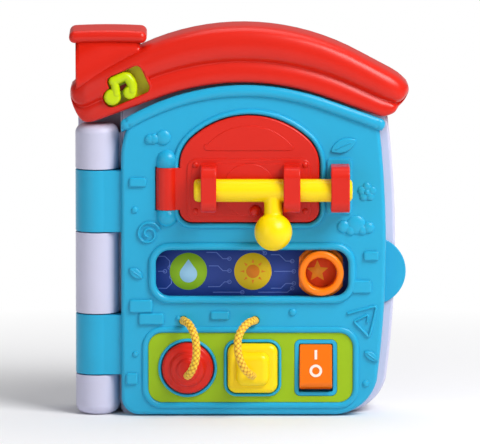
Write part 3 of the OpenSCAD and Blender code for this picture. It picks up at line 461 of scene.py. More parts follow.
def windowBead(roof):
    # rounded lip where the window meets the curved roof
    surface = bmesh.new()
    surface.from_mesh(roof.data)
    tree = BVHTree.FromBMesh(surface)
    surface.free()
    points = []
    for x, z in noteWindow(noteSetup["lipOut"]):
        spot = noteTurn() @ Vector((x, 0, z))
        hit = tree.ray_cast(Vector((spot.x * mm, -0.1, spot.z * mm)), Vector((0, 1, 0)))[0]
        if hit:
            points.append((spot.x, hit.y / mm + noteSetup["lipSunk"], spot.z))
    shape = bmesh.new()
    tubeAlong(shape, points, noteSetup["lipR"], closed=True)
    return newPiece("noteWindowLip", toMesh(shape, "noteWindowLip"), red, "house")


roof = applied(makeRoof())
cutNoteWindow(roof)
windowBead(roof)
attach(roof, "house")
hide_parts("roof_shell")
crispFlats(roof)
print("roof lofted")

# chimney: a box stack and a fat rounded cap
chimneySetup = {"stack": (-101, -61, 232), "stackY": (-8.9, 19.1), "stackHeight": 40, "stackEdge": 2.4,
                "cap": (-105, -57, 232, 240.4), "capY": (-10.9, 19.1), "capEdge": 3.75,
                "arch": 0.8, "archHalf": 24, "rise": 1.8, "riseFrom": 3, "sunk": 5}


def makeChimney():
    c = chimneySetup
    shape = bmesh.new()
    x0, x1, top = c["stack"]
    box = bmesh.ops.create_cube(shape, size=1.0)["verts"]
    y0, y1 = c["stackY"]
    bmesh.ops.scale(shape, vec=(x1 - x0, y1 - y0, c["stackHeight"]), verts=box)
    bmesh.ops.translate(shape, vec=((x0 + x1) / 2, (y0 + y1) / 2, top + 1 - c["stackHeight"] / 2), verts=box)
    for v in box:  # the stack ends inside the sloping roof
        if v.co.z < top:
            v.co.z = roofShape["top"] - archDrop(v.co.x, *roofShape["topArch"]) - c["sunk"]
    upright = [e for e in shape.edges if abs(e.verts[0].co.z - e.verts[1].co.z) > 5]
    bmesh.ops.bevel(shape, geom=upright, offset=c["stackEdge"], offset_type="OFFSET", segments=5, profile=0.5,
                    affect="EDGES", material=-1)
    x0, x1, z0, z1 = c["cap"]
    y0, y1 = c["capY"]
    z1 -= c["arch"]
    known = set(shape.verts)
    cap = bmesh.ops.create_cube(shape, size=1.0)["verts"]
    bmesh.ops.scale(shape, vec=(x1 - x0, y1 - y0, z1 - z0), verts=cap)
    bmesh.ops.translate(shape, vec=((x0 + x1) / 2, (y0 + y1) / 2, (z0 + z1) / 2), verts=cap)
    capEdges = [e for e in shape.edges if e.verts[0] not in known]
    bmesh.ops.bevel(shape, geom=capEdges, offset=c["capEdge"], offset_type="OFFSET", segments=7, profile=0.5,
                    affect="EDGES", material=-1)
    capFaces = [f for f in shape.faces if f.verts[0] not in known and len(f.verts) == 4]
    longEdges = {e for f in capFaces for e in f.edges if abs(e.verts[0].co.x - e.verts[1].co.x) > 20}
    bmesh.ops.subdivide_edges(shape, edges=list(longEdges), cuts=14, use_grid_fill=True)
    for v in shape.verts:
        if v not in known and v.co.z > z0 - 0.5:  # the cap follows a slight arch
            v.co.z += c["arch"] * (1 - ((v.co.x - (x0 + x1) / 2) / c["archHalf"]) ** 2)
            if v.co.z > z0 + 4:  # and its top rises to the back
                start = y0 + c["riseFrom"]
                v.co.z += c["rise"] * max(0, v.co.y - start) / (y1 - start)
    return crispFlats(newPiece("chimneyStack", toMesh(shape, "chimneyStack"), red, "house", "chimney"))


makeChimney()


# note switch: a rounded eighth-note pair that slides on a lime floor
noteShape = {"balls": ((-10.5, -2.3, 5.3), (0.6, -4.2, 4.3)),
             "strokes": (([(-5.9, 6.2), (1.4, 6.5), (3.2, 5.1), (3.8, 2.4), (3.7, -0.8), (2.4, -3.4)], 3.2),
                         ([(-5.7, 5.6), (-6.4, 2.6), (-7.5, -1.4)], 2.7)),
             "gap": 0.3, "crown": 3.4, "strokeRise": 0.8}


def makeNote():
    shape = bmesh.new()
    back, front = noteSetup["floorY"] - noteShape["gap"], noteSetup["frontY"]
    middle = (back + front) / 2
    for x, z, r in noteShape["balls"]:
        height = front - back
        spun(shape, rounded([(0, 0, 0), (r, 0, 0), (r, height, noteShape["crown"]), (0, height, 0)], 8),
             (x, back, z), (0, 1, 0), 40)
    for line, r in noteShape["strokes"]:
        for level in (front + r * noteShape["strokeRise"], middle):
            tubeAlong(shape, line, r, y=level)
    bmesh.ops.transform(shape, matrix=noteTurn(), verts=shape.verts)
    return newPiece("noteSlider", toMesh(shape, "noteSlider"), lime, "note", "note_slider")


makeNote()
print("chimney and note made")


# cover: the solid's shell, with its raised rims and ornaments modelled on top
coverSetup = {"outerEdge": 2.6, "openingEdge": 0.5, "knuckleEdge": 0.6, "backEdge": 0.6, "knuckleX": -73.2,
              "edgeY": -9, "edgeTop": 178, "edgeLeft": -62, "edgeRight": 73, "edgeLow": 7,
              "eaveX": 5, "eaveR": 145}
hinge = {"x": -44.6, "y": -9.1, "bossR": 6.6, "bosses": ((129.0, 124.6, -1), (155.6, 160.0, 1)),
         "knuckleR": 6.8, "knuckleZ": 129.2, "knuckleLength": 26.2, "knuckleEdge": 0.5}
doorSetup = {"x": 6.4, "spring": 156.9, "low": 121.5, "half": 43.2, "shoulder": 23, "rise": 31, "corner": 8,
             "frontY": -13.4, "edge": 1.3, "innerEdge": 0.5, "edgeY": -12.5, "edgeX": -36.9, "strapEdge": 0.75}


def onCoverEdge(p):
    # the outer edge of the front, below the eave
    c = coverSetup
    outside = p.x < c["edgeLeft"] or p.x > c["edgeRight"] or p.z < c["edgeLow"]
    return p.y < c["edgeY"] and p.z < c["edgeTop"] and outside


def onKnuckle(p):
    return p.x < coverSetup["knuckleX"]


roundedCopy("cover_front", "coverShell", blue, "cover", coverSetup["openingEdge"],
            [(onKnuckle, coverSetup["knuckleEdge"]), (onCoverEdge, coverSetup["outerEdge"])], faceY)
roundedCopy("cover_back", "coverBackPlate", blue, "cover", coverSetup["backEdge"])


def doorOutline(grow=0.0, steps=14):
    half, shoulder, rise, corner = [doorSetup[key] + grow for key in ("half", "shoulder", "rise", "corner")]
    x, spring, low = doorSetup["x"], doorSetup["spring"], doorSetup["low"] - grow
    c = half - shoulder
    big = (c * c + rise * rise - shoulder * shoulder) / (2 * (rise - shoulder))
    lean = math.degrees(math.atan2(big - rise, c))  # where shoulder and arch meet
    line = arc(x + c, spring, shoulder, 0, lean, steps)
    line += arc(x, spring + rise - big, big, lean, 180 - lean, steps)[1:-1]
    line += arc(x - c, spring, shoulder, 180 - lean, 180, steps)
    line += arc(x - half + corner, low + corner, corner, 180, 270, steps // 2)
    line += arc(x + half - corner, low + corner, corner, 270, 360, steps // 2)
    return line


def archLine(apex, x0, x1, steps=60):
    # the eave curves down further than the roof on the spine's side
    line = []
    middle, r = coverSetup["eaveX"], coverSetup["eaveR"]
    for x in [x0 + (x1 - x0) * i / steps for i in range(steps + 1)]:
        fall = r - math.sqrt(r ** 2 - (x - middle) ** 2) if x < middle else 0
        line.append((x, apex - max(fall, archDrop(x, *roofShape["lowArch"]))))
    return line


def spiral(x, z, start, turns, rOut, rIn, steps=60):
    points = []
    for i in range(steps + 1):
        t = i / steps
        a, r = math.radians(start + 360 * turns * t), rOut + (rIn - rOut) * t
        points.append((x + r * math.cos(a), z + r * math.sin(a)))
    return points


def leafOutline(x0, z0, x1, z1, r, steps=10):
    tip, end = Vector((x0, z0)), Vector((x1, z1))
    half = (end - tip).length / 2
    rise = math.sqrt(r * r - half * half)
    along = (end - tip).normalized()
    across = Vector((-along.y, along.x))
    spread = math.degrees(math.atan2(half, rise))
    middle = (tip + end) / 2
    line = []
    for sign in (1, -1):
        for i in range(steps):
            a = math.radians(-spread + 2 * spread * i / steps)
            spot = middle + sign * (across * (r * math.cos(a) - rise) + along * (-r * math.sin(a)))
            line.append((spot.x, spot.y))
    return line


coverRims = {  # middle line, bead radius, height above the face, closed or not
    "eave": (archLine(203.0, -69.4, 86.6), 3.7, 2.6, False),
    "door": (doorOutline(2.3), 1.75, 2.2, True),
    "slot": (roundRect(-53.9, 72.8, 70.0, 106.4, 11.1), 2.4, 2.5, True),
    "panel": (roundRect(-58.3, 6.8, 72.6, 54.3, 10.9), 1.95, 1.6, True),
    "roundSocket": (disc(-31.9, 30.4, 17.3), 1.05, 2.0, True),
    "squareSocket": (roundRect(-8.4, 13.6, 25.2, 47.2, 6.9), 1.05, 2.0, True),
    "swirl": (spiral(-56.2, 114.1, 25, 1.62, 7.6, 1.6), 1.0, 1.6, False),
    "triangle": ([(67.6, 64.5), (83.6, 68.9), (84.7, 68.6), (84.9, 67.6), (81, 51), (80.4, 50.3), (79.6, 50.7),
                  (71.9, 58.6), (71.6, 59.3), (72.2, 60), (79.2, 63.5), (79.9, 63.2), (79.5, 59.2)],
                 0.95, 1.6, False),
}
coverOrnaments = {
    "clouds": ((-55.2, 173, 3.2), (-52.6, 173.2, 3.4), (-46.8, 174, 4.8), (64.6, 118.6, 4.0), (72.4, 119.8, 6.0),
               (80, 118, 3.7), (69, 116.4, 3.4), (76.4, 116.6, 3.2)),
    "dots": ((-64.5, 129, 2.2), (-37.8, 61.4, 1.6), (-64.2, 39, 1.9), (33.2, 65.1, 2.5), (78.7, 20.5, 2.2)),
    "bricks": ((-62.6, 146.3, 11, 6), (81.8, 100.4, 9.6, 6), (75.8, 81.2, 12.6, 8.2), (-60.8, 69.1, 14.6, 8.4),
               (-54.3, 61, 16, 7.4), (-11.8, 63.2, 12, 5.6), (-66.4, 23.6, 7.4, 7.4)),
    "leaves": ((56.5, 165.4, 72.4, 172.6, 11), (-68.0, 92.6, -59.6, 86.4, 6.2), (77.6, 40.6, 86.4, 34.8, 6.6)),
    "flower": (79, 140.1, 3.3, 2.7),
    "keeperPad": roundRect(54.3, 126.5, 69.8, 161.2, 2.2),
    "rockerFrame": roundRect(34.5, 12.8, 60.7, 48.0, 4.4),
}
reliefSize = {"sunk": 0.5, "clouds": 2.0, "dots": 1.5, "bricks": 1.9, "brickCorner": 1.6, "brickEdge": 1.3,
              "leaves": 1.6, "leafEdge": 1.0, "vein": (0.45, 0.5), "veinSpan": (0.22, 0.78),
              "petals": 1.2, "eye": 1.7, "eyeShare": 0.75, "pad": 1.5, "padEdge": 0.8,
              "frame": 2.0, "frameWidth": 3.0, "frameSunk": 1.0, "frameEdge": 1.0}


def makeCoverRelief():
    shape = bmesh.new()
    for points, radius, height, closed in coverRims.values():
        tubeAlong(shape, points, radius, closed, height)
    size, back = reliefSize, faceY + reliefSize["sunk"]
    for kind in ("clouds", "dots"):
        for x, z, r in coverOrnaments[kind]:
            dome(shape, x, z, r, size[kind])
    for x, z, w, h in coverOrnaments["bricks"]:
        brick = roundRect(x - w / 2, z - h / 2, x + w / 2, z + h / 2, size["brickCorner"], 5)
        raisePlate(shape, brick, back, faceY - size["bricks"], size["brickEdge"])
    for leaf in coverOrnaments["leaves"]:
        raisePlate(shape, leafOutline(*leaf), back, faceY - size["leaves"], size["leafEdge"])
        x0, z0, x1, z1 = leaf[:4]
        ends = [(x0 + (x1 - x0) * t, z0 + (z1 - z0) * t) for t in size["veinSpan"]]
        radius, height = size["vein"]
        tubeAlong(shape, ends, radius, height=height, y=faceY - size["leaves"])
    x, z, spread, r = coverOrnaments["flower"]
    for k in range(5):
        a = math.radians(90 + 72 * k)
        dome(shape, x + spread * math.cos(a), z + spread * math.sin(a), r, size["petals"])
    dome(shape, x, z, r * size["eyeShare"], size["eye"])
    raisePlate(shape, coverOrnaments["keeperPad"], back, faceY - size["pad"], size["padEdge"])
    raiseFrame(shape, coverOrnaments["rockerFrame"], size["frameWidth"], faceY + size["frameSunk"],
               faceY - size["frame"], size["frameEdge"])
    r = hinge["bossR"]
    for inner, outer, way in hinge["bosses"]:
        reach = abs(outer - inner)
        turns = [math.radians(a) for a in range(10, 91, 10)]
        profile = [(0, 0), (r, 0), (r, reach)] + [(r * math.cos(a), reach + r * math.sin(a)) for a in turns]
        spun(shape, profile, (hinge["x"], hinge["y"], inner), (0, 0, way), 48)
    return crispFlats(newPiece("coverRelief", toMesh(shape, "coverRelief"), blue, "cover"))


makeCoverRelief()
print("cover made")


# door: leaf with knuckle, raised plate, arched panel, ring and rivets
def onDoorFront(p):
    return p.y < doorSetup["edgeY"] and p.x > doorSetup["edgeX"]


roundedCopy("door", "doorLeaf", red, "door_body", doorSetup["innerEdge"], [(onDoorFront, doorSetup["edge"])],
            doorSetup["frontY"])
doorPlates = (  # outline, back and front from the leaf's face, edge radius
    (roundRect(-32.2, 122.8, 44.6, 161.2, 6), 0.5, -0.9, 0.75),
    (roundRect(-29.2, 125.8, 41.6, 158.2, 4.4), 0, -1.25, 0.3),
    (disc(6.2, 142, 16.4, 64), -1, -1.75, 0.4),
    (arc(31.4, 168.8, 2.6, 270, 398, 8) + arc(6.2, 147.4, 34.3, 40, 140, 24) + arc(-19.0, 168.8, 2.6, 142, 270, 8),
     0.5, -0.5, 0.4),
)
doorStuds = {"rivetX": (-26.9, 40.8), "rivetZ": (128.9, 157.3), "rivet": (1.9, 1.3), "rivetY": 0.9,
             "stop": (10.2, 128.9, 3.7, 3.7), "stopY": 2.5}


def makeDoorRelief():
    shape = bmesh.new()
    front = doorSetup["frontY"]
    for outline, back, top, edge in doorPlates:
        raisePlate(shape, outline, front + back, front + top, edge)
    for x in doorStuds["rivetX"]:
        for z in doorStuds["rivetZ"]:
            dome(shape, x, z, *doorStuds["rivet"], front - doorStuds["rivetY"])
    r, length, edge = hinge["knuckleR"], hinge["knuckleLength"], hinge["knuckleEdge"]
    spun(shape, rounded([(0, 0, 0), (r, 0, edge), (r, length, edge), (0, length, 0)]),
         (hinge["x"], hinge["y"], hinge["knuckleZ"]), (0, 0, 1))
    dome(shape, *doorStuds["stop"], front - doorStuds["stopY"])
    return crispFlats(newPiece("doorRelief", toMesh(shape, "doorRelief"), red, "door_body"))


makeDoorRelief()
straps = {"left_staple": ("leftStaple", "door_body"), "right_staple": ("rightStaple", "door_body"),
          "keeper": ("boltKeeper", "cover")}
for nodeName, (pieceName, body) in straps.items():
    roundedCopy(nodeName, pieceName, red, body, doorSetup["strapEdge"])


# bolt: bar, stem and ball turned as smooth solids of revolution
boltSetup = {"y": -23.4, "z": 142.6, "left": -27.9, "right": 70.0, "r": 7.1, "cap": 7.0,
             "stemX": 21.1, "drop": 25.2, "out": 4.0, "stemR": 5.6, "ballR": 11.7,
             "gap": 0.3, "flatEdge": 0.5, "tipEdge": 3.4, "capEdge": 3.2, "neckBack": 0.6, "neckStep": 0.5,
             "voxel": 0.36, "smoothing": 7}


def makeBolt():
    b = boltSetup
    shape = bmesh.new()
    start = b["left"] + b["cap"] + b["gap"]
    length = b["right"] - start
    line = [(0, 0, 0), (b["r"], 0, b["flatEdge"]), (b["r"], length, b["tipEdge"]), (0, length, 0)]
    spun(shape, rounded(line, 8), (start, b["y"], b["z"]), (1, 0, 0))
    way = Vector((0, -b["out"], -b["drop"]))
    reach = way.length
    neck = reach - math.sqrt(b["ballR"] ** 2 - b["stemR"] ** 2)
    profile = [(0, 2), (b["stemR"], 2), (b["stemR"], neck - b["neckBack"])]
    first = math.degrees(math.asin((b["stemR"] + b["neckStep"]) / b["ballR"]))
    profile += [(b["ballR"] * math.sin(math.radians(a)), reach - b["ballR"] * math.cos(math.radians(a)))
                for a in [first + (180 - first) * i / 24 for i in range(25)]]
    spun(shape, profile, (b["stemX"], b["y"], b["z"]), way)
    bar = newPiece("boltBar", toMesh(shape, "boltBar"), yellow, "bolt_body", "bolt")
    skin = bar.modifiers.new("oneSkin", "REMESH")
    skin.mode = "VOXEL"
    skin.voxel_size = b["voxel"] * mm
    skin.use_smooth_shade = True
    soft = bar.modifiers.new("softRoot", "SMOOTH")
    soft.factor = 0.5
    soft.iterations = b["smoothing"]
    cap = bmesh.new()
    line = [(0, 0, 0), (b["r"], 0, b["capEdge"]), (b["r"], b["cap"], b["flatEdge"]), (0, b["cap"], 0)]
    spun(cap, rounded(line, 8), (b["left"], b["y"], b["z"]), (1, 0, 0))
    newPiece("boltCap", toMesh(cap, "boltCap"), yellow, "bolt_carrier", "bolt_end_cap")


makeBolt()
print("door and bolt made")

# sliding ring, plugs and rocker
ringSetup = {"x": 50.8, "z": 89.6, "outer": 14.0, "hole": 9.6, "frontY": -14.5, "backY": -2.5, "edge": 2.6,
             "backEdge": 0.4, "foot": 16.2, "footY": -4.6, "footHalf": 13.6, "footIn": 0.2, "footEdge": 0.5}


def makeRing():
    r = ringSetup
    shape = bmesh.new()
    line = [(r["hole"], r["backY"], 0), (r["hole"], r["frontY"], r["edge"]), (r["outer"], r["frontY"], r["edge"]),
            (r["outer"], r["backY"], r["backEdge"]), (r["hole"], r["backY"], 0)]
    spun(shape, rounded(line, 8), (r["x"], 0, r["z"]), (0, 1, 0))
    # two feet run behind the slot's long edges
    half, near = r["footHalf"], r["outer"] - r["footIn"]
    edge = math.degrees(math.acos(half / r["foot"]))
    inner = math.degrees(math.acos(half / near))
    for turn in (0, 180):
        outline = arc(r["x"], r["z"], r["foot"], turn + edge, turn + 180 - edge, 24)
        outline += arc(r["x"], r["z"], near, turn + 180 - inner, turn + inner, 24)
        raisePlate(shape, outline, r["backY"], r["footY"], r["footEdge"], 2)
    newPiece("slideRing", toMesh(shape, "slideRing"), orange, "ring", "slide_ring")


makeRing()

plugSetup = {"z": 30.4, "backY": -1.9, "roundX": -31.9, "squareX": 8.4,
             "domes": ((16.0, -1.9, 0.6), (16.0, -15.0, 3.6), (11.2, -15.8, 3.4), (10.2, -18.6, 3.4),
                       (7.0, -19.2, 3.0), (6.2, -21.3, 3.2), (0, -21.6, 0)),  # radius, y, fillet
             "pads": ((15.5, 5.6, -1.9, -15.9, 3.6, 8),  # half width, corner, back, front, edge, segments
                      (10.5, 5.4, -15, -21.2, 4.9, 9))}


def makePlugs():
    x, z = plugSetup["roundX"], plugSetup["z"]
    shape = bmesh.new()
    spun(shape, rounded([(0, plugSetup["backY"], 0), *plugSetup["domes"]], 12), (x, 0, z), (0, 1, 0))
    newPiece("roundPlug", toMesh(shape, "roundPlug"), red, "round_plug_body", "round_plug")
    shape = bmesh.new()
    x = plugSetup["squareX"]
    for half, corner, *plate in plugSetup["pads"]:
        raisePlate(shape, roundRect(x - half, z - half, x + half, z + half, corner, 10), *plate)
    crispFlats(newPiece("squarePlug", toMesh(shape, "squarePlug"), yellow, "square_plug_body", "square_plug"))


makePlugs()
rockerSetup = {"x": 47.6, "half": 9.5, "footZ": 19.5, "frontY": -9.5, "edge": 1.0, "footEdge": 4.2}


def onRockerFoot(p):
    r = rockerSetup
    return p.z < r["footZ"] and p.y < r["frontY"] and abs(p.x - r["x"]) < r["half"]


roundedCopy("rocker", "rockerKey", rockerOrange, "rocker_body", rockerSetup["edge"],
            [(onRockerFoot, rockerSetup["footEdge"])])
print("ring, plugs and rocker made")


# braided polypropylene cord: eight strands over and under, with painted shade that colours the hollows darker
# amber
def braidedCord(name):
    material, tree, shader = newMaterial(name)
    strand = addNode(tree, "Attribute", attribute_name="strandHeight")
    paintedStrandShade = addNode(tree, "ValToRGB", {"Fac": strand.outputs["Fac"]})
    # painted shade and light: dark amber in the hollows between strands, pale yellow on their crests, by strand
    # height
    paintedStrandShade.color_ramp.elements[0].color = linear("#8A4C00")
    paintedStrandShade.color_ramp.elements[1].color = linear("#FFDC3C")
    middle = paintedStrandShade.color_ramp.elements.new(0.45)
    middle.color = linear("#EBAC0C")
    tree.links.new(paintedStrandShade.outputs["Color"], shader.inputs["Base Color"])
    place = addNode(tree, "TexCoord").outputs["Object"]
    fibre = addNode(tree, "TexNoise", {"Vector": place}, {"Scale": 1000 / 0.35, "Detail": 2.0})
    bump = addNode(tree, "Bump", {"Height": fibre.outputs["Fac"]}, {"Strength": 0.3, "Distance": 0.05 * mm})
    tree.links.new(bump.outputs["Normal"], shader.inputs["Normal"])
    shader.inputs["Roughness"].default_value = 0.5
    shader.inputs["Sheen Weight"].default_value = 0.15
    return material


cordBraid = braidedCord("yellowBraidedPolypropylene")
cordSetup = {
    "radius": 2.3, "relief": 0.5, "strands": 8, "lay": 6.0, "around": 48, "step": 0.28,
    "round": {"body": "round_plug_body", "node": "round_cord",
              "route": ((-34.6, 8, 60), (-34.6, 4, 60), (-34.6, 0, 60), (-33.6, -6, 60.4), (-31.2, -12, 59.6),
                        (-28.6, -17, 56), (-26.8, -20, 50.5), (-26.2, -21.4, 44), (-27, -21.6, 37.5),
                        (-29, -20, 32), (-31, -16, 28.4), (-31.9, -10.5, 27), (-31.9, -7, 27))},
    "square": {"body": "square_plug_body", "node": "square_cord",
               "route": ((9.8, 8, 60), (9.8, 4, 60), (9.8, 0, 60), (8.6, -6, 60.6), (5.6, -11.6, 60),
                         (1.8, -16.4, 56.6), (-0.6, -19.6, 51), (-0.8, -21.2, 44.4), (0.8, -21.6, 38),
                         (3.6, -20.2, 32.4), (6.8, -16.2, 28.6), (8.4, -10.5, 27), (8.4, -7, 27))},
}


def smoothRoute(points, step):
    # even points along a Catmull-Rom line
    ctrl = [Vector((x, faceY + y, z)) for x, y, z in points]
    ctrl = [ctrl[0] * 2 - ctrl[1]] + ctrl + [ctrl[-1] * 2 - ctrl[-2]]
    dense = []
    for a, b, c, d in zip(ctrl, ctrl[1:], ctrl[2:], ctrl[3:]):
        for k in range(24):
            t = k / 24
            dense.append(0.5 * (2 * b + (c - a) * t + (2 * a - 5 * b + 4 * c - d) * t * t
                                + (3 * b - a - 3 * c + d) * t ** 3))
    dense.append(ctrl[-2])
    line, left = [dense[0]], step
    for p, q in zip(dense, dense[1:]):
        span = (q - p).length
        while span >= left:
            p = p + (q - p).normalized() * left
            line.append(p)
            span, left = (q - p).length, step
        left -= span
    return line


def makeCord(kind):
    setup = cordSetup[kind]
    line = smoothRoute(setup["route"], cordSetup["step"])
    shape = bmesh.new()
    height = shape.verts.layers.float.new("strandHeight")
    rings = []
    side = Vector((1, 0, 0))
    for i, p in enumerate(line):
        way = (line[min(i + 1, len(line) - 1)] - line[max(i - 1, 0)]).normalized()
        side = (side - way * side.dot(way)).normalized()
        across = way.cross(side)
        along = i * cordSetup["step"]
        ring = []
        for k in range(cordSetup["around"]):
            a = math.tau * k / cordSetup["around"]
            turn = math.pi * along / cordSetup["lay"] * cordSetup["strands"] / 4
            over = abs(math.sin(a * cordSetup["strands"] / 4 + turn))
            under = abs(math.sin(a * cordSetup["strands"] / 4 - turn))
            lift = math.sqrt(over * under)
            r = cordSetup["radius"] + cordSetup["relief"] * (lift - 0.5)
            v = shape.verts.new(p + (side * math.cos(a) + across * math.sin(a)) * r)
            v[height] = lift
            ring.append(v)
        rings.append([shape.edges.new((a, b)) for a, b in zip(ring, ring[1:] + ring[:1])])
    for near, far in zip(rings, rings[1:]):
        bmesh.ops.bridge_loops(shape, edges=near + far)
    for end in (rings[0], rings[-1]):
        bmesh.ops.contextual_create(shape, geom=end)
    bmesh.ops.recalc_face_normals(shape, faces=shape.faces)
    cord = newPiece(kind + "Cord", toMesh(shape, kind + "Cord"), cordBraid, None, setup["node"])
    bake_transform(cord)


makeCord("round")
makeCord("square")


# printed strip behind the slot: navy paper with pale traces and three plain badges
def printedInk(name, colour, roughness=0.5):
    # offset ink on coated paper: flat colour with a faint paper tooth
    return mouldedPlastic(name, colour, roughness, grain=0.25, depth=0.01, tint=0.03)


navyInk = printedInk("navyInkOnPaper", "#27408F")
traceInk = printedInk("paleBlueInk", "#5C73BE")
greenInk = printedInk("limeGreenInk", "#8DB812")
yellowInk = printedInk("mustardYellowInk", "#E5BE0C")
coralInk = printedInk("coralRedInk", "#E2531C")
dropInk = printedInk("skyBlueInk", "#9CCBE6")
sunInk = printedInk("tangerineInk", "#E8820F")
starInk = printedInk("amberInk", "#F2B632")
stripSetup = {"frontY": -2.2, "outline": (-53.1, 73.6, 69.2, 105.6, 10.3), "z": 89.6, "badgeR": 11.6,
              "badges": ((-31.4, greenInk), (8.6, yellowInk), (48.6, coralInk)), "lip": 0.02,
              "paper": (-0.3, 0), "badge": (0, 0.07), "motif": (0.05, 0.12),  # heights above the front
              "drop": (7.6, 1.6, 5.4), "sun": (4.2, 5.4, 8.0), "rayLean": math.degrees(0.16), "star": (7.0, 3.2),
              "traceR": 0.28, "padR": 1.1, "padLine": 0.22, "traceHeight": 0.05}
traceRoutes = [[(-50, 79), (-45, 79), (-42, 82), (-42, 86)], [(-50, 99), (-46, 99), (-43, 96), (-43, 92)],
               [(-50, 89.6), (-46, 89.6)], [(-20, 101.5), (-14, 101.5), (-10, 97.5), (-6, 97.5)],
               [(-18.5, 93), (-13, 93), (-10, 90), (-6, 90)], [(-19, 80), (-12, 80), (-9, 83), (-6, 83)],
               [(-16, 76.5), (2, 76.5)], [(20, 100), (25, 100), (29, 96), (33, 96)], [(22, 89.6), (34, 89.6)],
               [(20, 79), (26, 79), (29, 82), (34, 82)], [(12, 76.5), (30, 76.5), (33, 79)],
               [(62, 98), (65, 95), (65, 84), (62, 81)], [(0, 103), (14, 103), (16, 101)]]


def printPiece(name, ink, outlines, layer, *replaced):
    back, top = [stripSetup["frontY"] - height for height in stripSetup[layer]]
    shape = bmesh.new()
    for outline in outlines:
        raisePlate(shape, outline, back, top, stripSetup["lip"], 1)
    newPiece(name, toMesh(shape, name), ink, "cover", *replaced)


def polar(x, z, r, degrees):
    return (x + r * math.cos(math.radians(degrees)), z + r * math.sin(math.radians(degrees)))


def makeStrip():
    t, z = stripSetup, stripSetup["z"]
    printPiece("pictureStrip", navyInk, [roundRect(*t["outline"])], "paper", "slot_label")
    traces = bmesh.new()
    for route in traceRoutes:
        tubeAlong(traces, route, t["traceR"], height=t["traceHeight"], y=t["frontY"])
        pad = disc(*route[-1], t["padR"], 20)
        tubeAlong(traces, pad, t["padLine"], closed=True, height=t["traceHeight"], y=t["frontY"])
    newPiece("circuitTraces", toMesh(traces, "circuitTraces"), traceInk, "cover")
    for x, ink in t["badges"]:
        printPiece("badge" + ink.name, ink, [disc(x, z, t["badgeR"], 64)], "badge")
    left, middle, right = [x for x, ink in t["badges"]]
    tip, below, r = t["drop"]
    drop = [(left, z + tip)] + arc(left, z - below, r, 150, 390, 28)
    printPiece("dropMotif", dropInk, [drop], "motif")
    core, near, far = t["sun"]
    ray = ((near, -t["rayLean"]), (far, 0), (near, t["rayLean"]))
    rays = [[polar(middle, z, r, 45 * k + a) for r, a in ray] for k in range(8)]
    printPiece("sunMotif", sunInk, [disc(middle, z, core, 40), *rays], "motif")
    star = [polar(right, z, r, 90 + 36 * k) for k, r in enumerate(t["star"] * 5)]
    printPiece("starMotif", starInk, [star], "motif")


makeStrip()
print("picture strip made")


# casing and what shows of the solids themselves
casingSetup = {"edge": 0.4, "batteryDoorEdge": 0.5, "pageEdge": 1.9, "pageDepth": 0.2, "pageTop": 180,
               "pageSide": 72, "cornerX": 40, "cornerZ": 20}


def onPageEdge(p):
    # the edge that shows past the cover: the bulging side and the lower corner
    c = casingSetup
    beside = p.x > c["pageSide"] or p.x > c["cornerX"] and p.z < c["cornerZ"]
    return p.y < partingY + c["pageDepth"] and p.z < c["pageTop"] and beside


roundedCopy("rear_shell", "rearCasing", lavender, "house", casingSetup["edge"])
roundedCopy("inner_panel", "innerPage", lavender, "house", 0, [(onPageEdge, casingSetup["pageEdge"])])
roundedCopy("battery_door", "batteryDoor", lavender, "house", casingSetup["batteryDoorEdge"])
nodeFinish = {
    "note_floor": limeFloorPaintedLight, "floor_plate": blue, "green_panel": green, "rocker_marks": whiteInk,
    "cord_knots": cordBraid, "battery_box": lavender, "loudspeaker": darkCone, "speaker_magnet": steel,
    "circuit_board": boardGreen, "cells": cellSleeve, "cell_contacts": steel, "spine_pin": steel,
    "door_pin": steel, "rocker_pin": steel, "battery_screw": steel, "case_screws": steel,
    "board_screws": steel, "cover_screws": steel,
}
for nodeName, finish in nodeFinish.items():
    nodes[nodeName].data.materials.clear()
    nodes[nodeName].data.materials.append(finish)
print("casing made")

# white sweep that fades to pure white away from the house
studio = {"paper": "#F2F2F4", "world": 0.26, "fade": (0.15, 0.5), "lampAim": (0, 0, 0.12)}


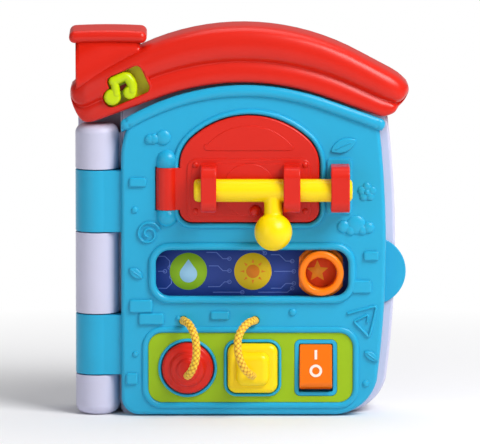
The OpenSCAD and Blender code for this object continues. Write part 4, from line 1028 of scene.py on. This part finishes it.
def makeFloor():
    shape = bmesh.new()
    bmesh.ops.create_grid(shape, x_segments=1, y_segments=1, size=20)
    mesh = bpy.data.meshes.new("studioFloor")
    shape.to_mesh(mesh)
    shape.free()
    floor = bpy.data.objects.new("studioFloor", mesh)
    bpy.context.collection.objects.link(floor)
    paper, tree, shader = newMaterial("whiteSweepPaper")
    shader.inputs["Base Color"].default_value = linear(studio["paper"])
    shader.inputs["Roughness"].default_value = 0.9
    place = addNode(tree, "TexCoord").outputs["Object"]
    away = addNode(tree, "VectorMath", {0: place}, operation="LENGTH")
    fade = addNode(tree, "MapRange", {"Value": away.outputs["Value"]},
                   {"From Min": studio["fade"][0], "From Max": studio["fade"][1]}, clamp=True)
    light = addNode(tree, "LightPath")
    seen = addNode(tree, "Math", {0: light.outputs["Is Camera Ray"], 1: light.outputs["Is Glossy Ray"]},
                   operation="MAXIMUM")
    share = addNode(tree, "Math", {0: seen.outputs[0], 1: fade.outputs["Result"]}, operation="MULTIPLY")
    white = addNode(tree, "Emission", values={"Color": (1, 1, 1, 1), "Strength": 1.0})
    blend = addNode(tree, "MixShader", {0: share.outputs[0], 1: shader.outputs[0], 2: white.outputs[0]})
    tree.links.new(blend.outputs[0], tree.nodes["Material Output"].inputs["Surface"])
    mesh.materials.append(paper)


def makeWorld():
    world = bpy.data.worlds.new("softStudio")
    bpy.context.scene.world = world
    world.use_nodes = True
    sky = world.node_tree
    fill = sky.nodes["Background"]
    fill.inputs["Color"].default_value = (1, 1, 1, 1)
    fill.inputs["Strength"].default_value = studio["world"]
    path = addNode(sky, "LightPath")
    backdrop = addNode(sky, "Background", values={"Color": (1, 1, 1, 1), "Strength": 1.0})
    both = addNode(sky, "MixShader", {0: path.outputs["Is Camera Ray"], 1: fill.outputs[0],
                                      2: backdrop.outputs[0]})
    sky.links.new(both.outputs[0], sky.nodes["World Output"].inputs["Surface"])


makeFloor()
makeWorld()
bpy.context.scene.view_settings.view_transform = "Standard"
lamps = {
    "keyLamp": {"at": (0.8, -0.75, 1.15), "size": 0.75, "power": 23},
    "fillLamp": {"at": (-1.0, -1.2, 0.5), "size": 1.0, "power": 3},
    "topLamp": {"at": (0.1, 0.3, 1.3), "size": 0.8, "power": 4},
}
for lampName, lamp in lamps.items():
    light = bpy.data.lights.new(lampName, "AREA")
    light.energy = lamp["power"]
    light.size = lamp["size"]
    holder = bpy.data.objects.new(lampName, light)
    bpy.context.collection.objects.link(holder)
    holder.location = lamp["at"]
    holder.rotation_euler = (Vector(studio["lampAim"]) - holder.location).to_track_quat("-Z", "Y").to_euler()
print("studio lit")

print("scene done")
